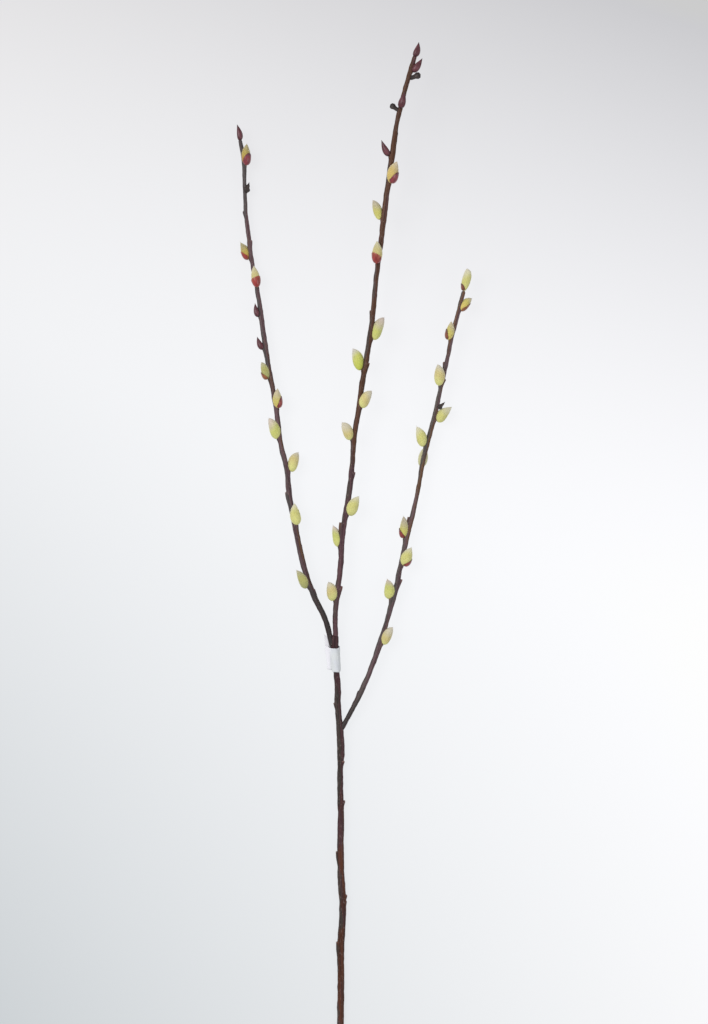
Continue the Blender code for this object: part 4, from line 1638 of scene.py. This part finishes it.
@dataclass
class Stubs:
    """The dark stubs of one shoot: clubs, thorns and knots."""

    name: str
    axis: Axis
    stubs: Sequence[Stub]
    rings: int = 30
    sides: int = 22

    @staticmethod
    def width(form: StubForm, share: np.ndarray) -> np.ndarray:
        """Share of the half width at shares of the length, eased from one of the form's pairs to the next."""
        places, widths = zip(*form.value)
        total = np.full_like(share, widths[0])
        for low, high, narrow, wide in zip(places, places[1:], widths, widths[1:]):
            total += (wide - narrow) * smooth(low, high, share)
        return total

    def build(self, material: bpy.types.Material) -> None:
        """Build the stubs as one piece."""
        draft = Draft()
        share = end_heavy(self.rings)
        angle = np.linspace(0.0, 2.0 * math.pi, self.sides, endpoint=False)[None, :]
        for number, stub in enumerate(self.stubs):
            stance = Stance.of(self.axis, stub)
            uneven = 1.0 + 0.06 * np.sin(3.0 * angle + 9.0 * share)
            radius = stub.width / 2.0 * self.width(stub.form, share) * uneven
            draft.loft(stance.points(share, angle, radius),
                       stance.points(np.zeros(1), np.zeros(1), np.zeros(1))[0],
                       stance.points(np.ones(1), np.zeros(1), np.zeros(1))[0], {
                "grain": stance.grain(share, angle, 0.002, 0.61 * (number + 1)),
                "along": np.broadcast_to(share, radius.shape),
            })
        dress(draft.build(self.name + "_stubs", material), "bud")


@dataclass
class CutEnd:
    """The cut face at the foot of the stem, a little inside its bark."""

    axis: Axis
    sides: int = 44
    rings: int = 8
    bark_width: float = 0.00045
    recess: float = -0.0002
    depth: float = 0.002

    def build(self, finish: CutFinish) -> None:
        """Build the cut face."""
        centre, radius = self.axis.at(np.array(0.0))
        along, right, up = self.axis.frame(np.array(0.0))
        middle = centre + along * self.recess
        reach = float(radius) - self.bark_width
        turn = np.linspace(0.0, 2.0 * math.pi, self.sides, endpoint=False)
        side = right * np.cos(turn)[:, None] + up * np.sin(turn)[:, None]
        rings = []
        for i in range(1, self.rings + 1):
            share = i / self.rings
            dome = 0.00012 * (1.0 - share ** 4) + 0.00003 * np.sin(7.0 * turn + 3.0 * i)
            rings.append(middle + side * (reach * share) - along * dome[:, None])
        rings.append(middle + side * reach + along * self.depth)
        draft = Draft()
        draft.loft(np.array(rings), middle - along * 0.00012, middle + along * self.depth, {})
        dress(draft.build("stem_cut_face", finish.build(tuple(middle))), "cut_wood")


@dataclass
class Label:
    """The blank paper strip: wound once round the stem, both ends standing out as a flag."""

    axis: Axis
    middle: float = -0.1077
    height: float = 0.0240
    thickness: float = 0.00025
    top_radius: float = 0.0056
    foot_radius: float = 0.0044
    rise: tuple[float, ...] = (0.0040, 0.0010, 0.0, 0.0020, 0.0080, 0.0150)
    bends: int = 72
    rows: int = 22
    flag_length: float = 0.0042
    flag_steps: int = 8
    flag_turn: float = 196.0
    flag_mouth: float = 24.0
    ply_gap: float = 0.0006
    node_thickness: float = 0.0006
    wave: float = 0.00022

    def line(self, right: np.ndarray, up: np.ndarray, radius: float, depth: float) -> np.ndarray:
        """One face of the strip across the stem: flag, once round, flag again."""
        flag = math.radians(self.flag_turn)
        mouth = math.radians(self.flag_mouth)
        out = right * math.cos(flag) + up * math.sin(flag)
        side = up * math.cos(flag) - right * math.sin(flag)
        ply = side * (self.ply_gap / 2.0 + self.node_thickness - depth)
        turn = flag - mouth / 2.0 - (2.0 * math.pi - mouth) * np.linspace(0.0, 1.0, self.bends + 1)
        wound = (right * np.cos(turn)[:, None] + up * np.sin(turn)[:, None]) * (radius - depth)
        reach = radius + self.flag_length * np.linspace(1.0, 0.2, self.flag_steps)
        first = out * reach[:, None] - ply
        last = out * reach[::-1, None] + ply
        return np.vstack([first, wound, last])

    def build(self, material: bpy.types.Material) -> None:
        """Build the label."""
        s = np.array(self.axis.station(self.middle))
        centre, _ = self.axis.at(s)
        along, right, up = self.axis.frame(s)
        grids = []
        for depth in (0.0, self.thickness):
            top = self.line(right, up, self.top_radius, depth)
            foot = self.line(right, up, self.foot_radius, depth)
            share = np.linspace(0.0, 1.0, len(top))
            rise = np.interp(share, np.linspace(0.0, 1.0, len(self.rise)), self.rise)
            high = np.linspace(-0.5, 0.5, self.rows)[:, None]
            line = foot[None] * (0.5 - high)[..., None] + top[None] * (0.5 + high)[..., None]
            wave = self.wave * np.sin(high * 9.0 + share * 31.0) * np.abs(2.0 * high)
            line = line * (1.0 + wave / self.foot_radius)[..., None]
            grids.append(centre + line + along * (high * self.height + rise)[..., None])
        draft = Draft()
        draft.sheet(grids[0], grids[1], {})
        dress(draft.build("label_paper", material), "label_paper", "label")


@dataclass
class Shoot:
    """One shoot: its bark and everything that grows on it."""

    plan: ShootPlan

    def build(self, finishes: Finishes, hairs: GeometryTree, warts: GeometryTree, lowest: float) -> None:
        """Build the shoot from its bark to its tip."""
        plan = self.plan
        axis = Axis(plan.route)
        bark = Bark(plan.name, plan.node, plan.route, plan.spurs, plan.catkins + plan.buds, root=plan.root)
        skin = bark.build(finishes.bark(plan.name), lowest)
        dress(warts.grow(skin, plan.name + "_lenticels"), "bark")
        tip_catkin = plan.tip if isinstance(plan.tip, Catkin) else None
        tip_bud = None if tip_catkin else plan.tip
        Catkins(plan.name, axis, plan.catkins, tip_catkin, lowest).build(finishes, hairs)
        if plan.buds or tip_bud:
            Buds(plan.name, axis, plan.buds, tip_bud).build(finishes.bud)
        if plan.stubs:
            Stubs(plan.name, axis, plan.stubs).build(finishes.stub)


@dataclass
class Stem:
    """The main stem: its bark up to the collar, and its cut end."""

    sides: int = 44
    shoulder: float = 0.0036

    def build(self, finishes: Finishes, warts: GeometryTree, lowest: float) -> None:
        """Build the stem and its cut face."""
        bark = Bark("stem", "main_stem", STEM_ROUTE, STEM_SPURS, (), sides=self.sides, shoulder=self.shoulder)
        skin = bark.build(finishes.stem, lowest)
        dress(warts.grow(skin, "stem_lenticels"), "bark")
        CutEnd(Axis(STEM_ROUTE)).build(CutFinish())


@dataclass(frozen=True)
class Lamp:
    """A soft square lamp that looks at a point of the twig."""

    name: str
    place: Triple
    power: float
    size: float
    aim: Triple = (0.0, 0.0, 0.0)

    def build(self) -> None:
        """Hang the lamp."""
        light = bpy.data.lights.new(self.name, "AREA")
        light.energy = self.power
        light.size = self.size
        lamp = bpy.data.objects.new(self.name, light)
        lamp.location = self.place
        lamp.rotation_euler = (Vector(self.aim) - Vector(self.place)).to_track_quat("-Z", "Y").to_euler()
        lamp.visible_camera = False
        bpy.context.scene.collection.objects.link(lamp)


@dataclass
class Studio:
    """The pale floor, the soft light and the camera that looks straight down."""

    camera_place: Triple = (0.0010, 0.0407, 2.4278)
    lens: float = 85.0
    sensor: float = 36.0
    floor_size: float = 160.0
    sky: Triple = (0.60, 0.605, 0.615)
    lamps: tuple[Lamp, ...] = (
        Lamp("key_lamp", (-1.3, 0.7, 2.0), 45.0, 1.4),
        Lamp("fill_lamp", (1.5, -0.4, 1.6), 10.0, 1.2),
    )

    def build(self) -> None:
        """Build the studio."""
        scene = bpy.context.scene
        scene.view_settings.view_transform = "Standard"
        self.build_floor()
        self.build_sky(scene)
        for lamp in self.lamps:
            lamp.build()
        camera = bpy.data.cameras.new("camera")
        camera.lens = self.lens
        camera.sensor_width = self.sensor
        camera.clip_end = self.floor_size
        eye = bpy.data.objects.new("camera", camera)
        eye.location = self.camera_place
        scene.collection.objects.link(eye)
        scene.camera = eye

    def build_floor(self) -> None:
        """Lay the floor."""
        half = self.floor_size / 2.0
        corners = [(-half, -half, 0.0), (half, -half, 0.0), (half, half, 0.0), (-half, half, 0.0)]
        mesh = bpy.data.meshes.new("floor")
        mesh.from_pydata(corners, [], [(0, 1, 2, 3)])
        mesh.materials.append(FloorFinish().build())
        floor = bpy.data.objects.new("floor", mesh)
        bpy.context.scene.collection.objects.link(floor)
        floor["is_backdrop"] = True

    def build_sky(self, scene: bpy.types.Scene) -> None:
        """Fill the room with even light."""
        world = bpy.data.worlds.new("room")
        world.use_nodes = True
        world.node_tree.nodes.clear()
        g = Graph(world.node_tree)
        light = g.value("ShaderNodeBackground", None, {"Color": self.sky, "Strength": 1.0})
        g.node("ShaderNodeOutputWorld", None, {"Surface": light})
        scene.world = world


def main() -> None:
    """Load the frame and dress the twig."""
    logging.basicConfig(level=logging.INFO, format="%(message)s")
    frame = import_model()
    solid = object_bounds()
    LOG.info("frame with %d nodes", len(frame["nodes"]))
    lowest = solid[0].z
    Studio().build()
    finishes = Finishes()
    hairs = Hairs().tree(finishes.hair, lowest)
    warts = Lenticels().tree(finishes.lenticel, lowest)
    Stem().build(finishes, warts, lowest)
    for plan in (MIDDLE, LEFT, RIGHT):
        Shoot(plan).build(finishes, hairs, warts, lowest)
    Label(Axis(STEM_ROUTE)).build(finishes.paper)
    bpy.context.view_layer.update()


if __name__ == "__main__":
    main()
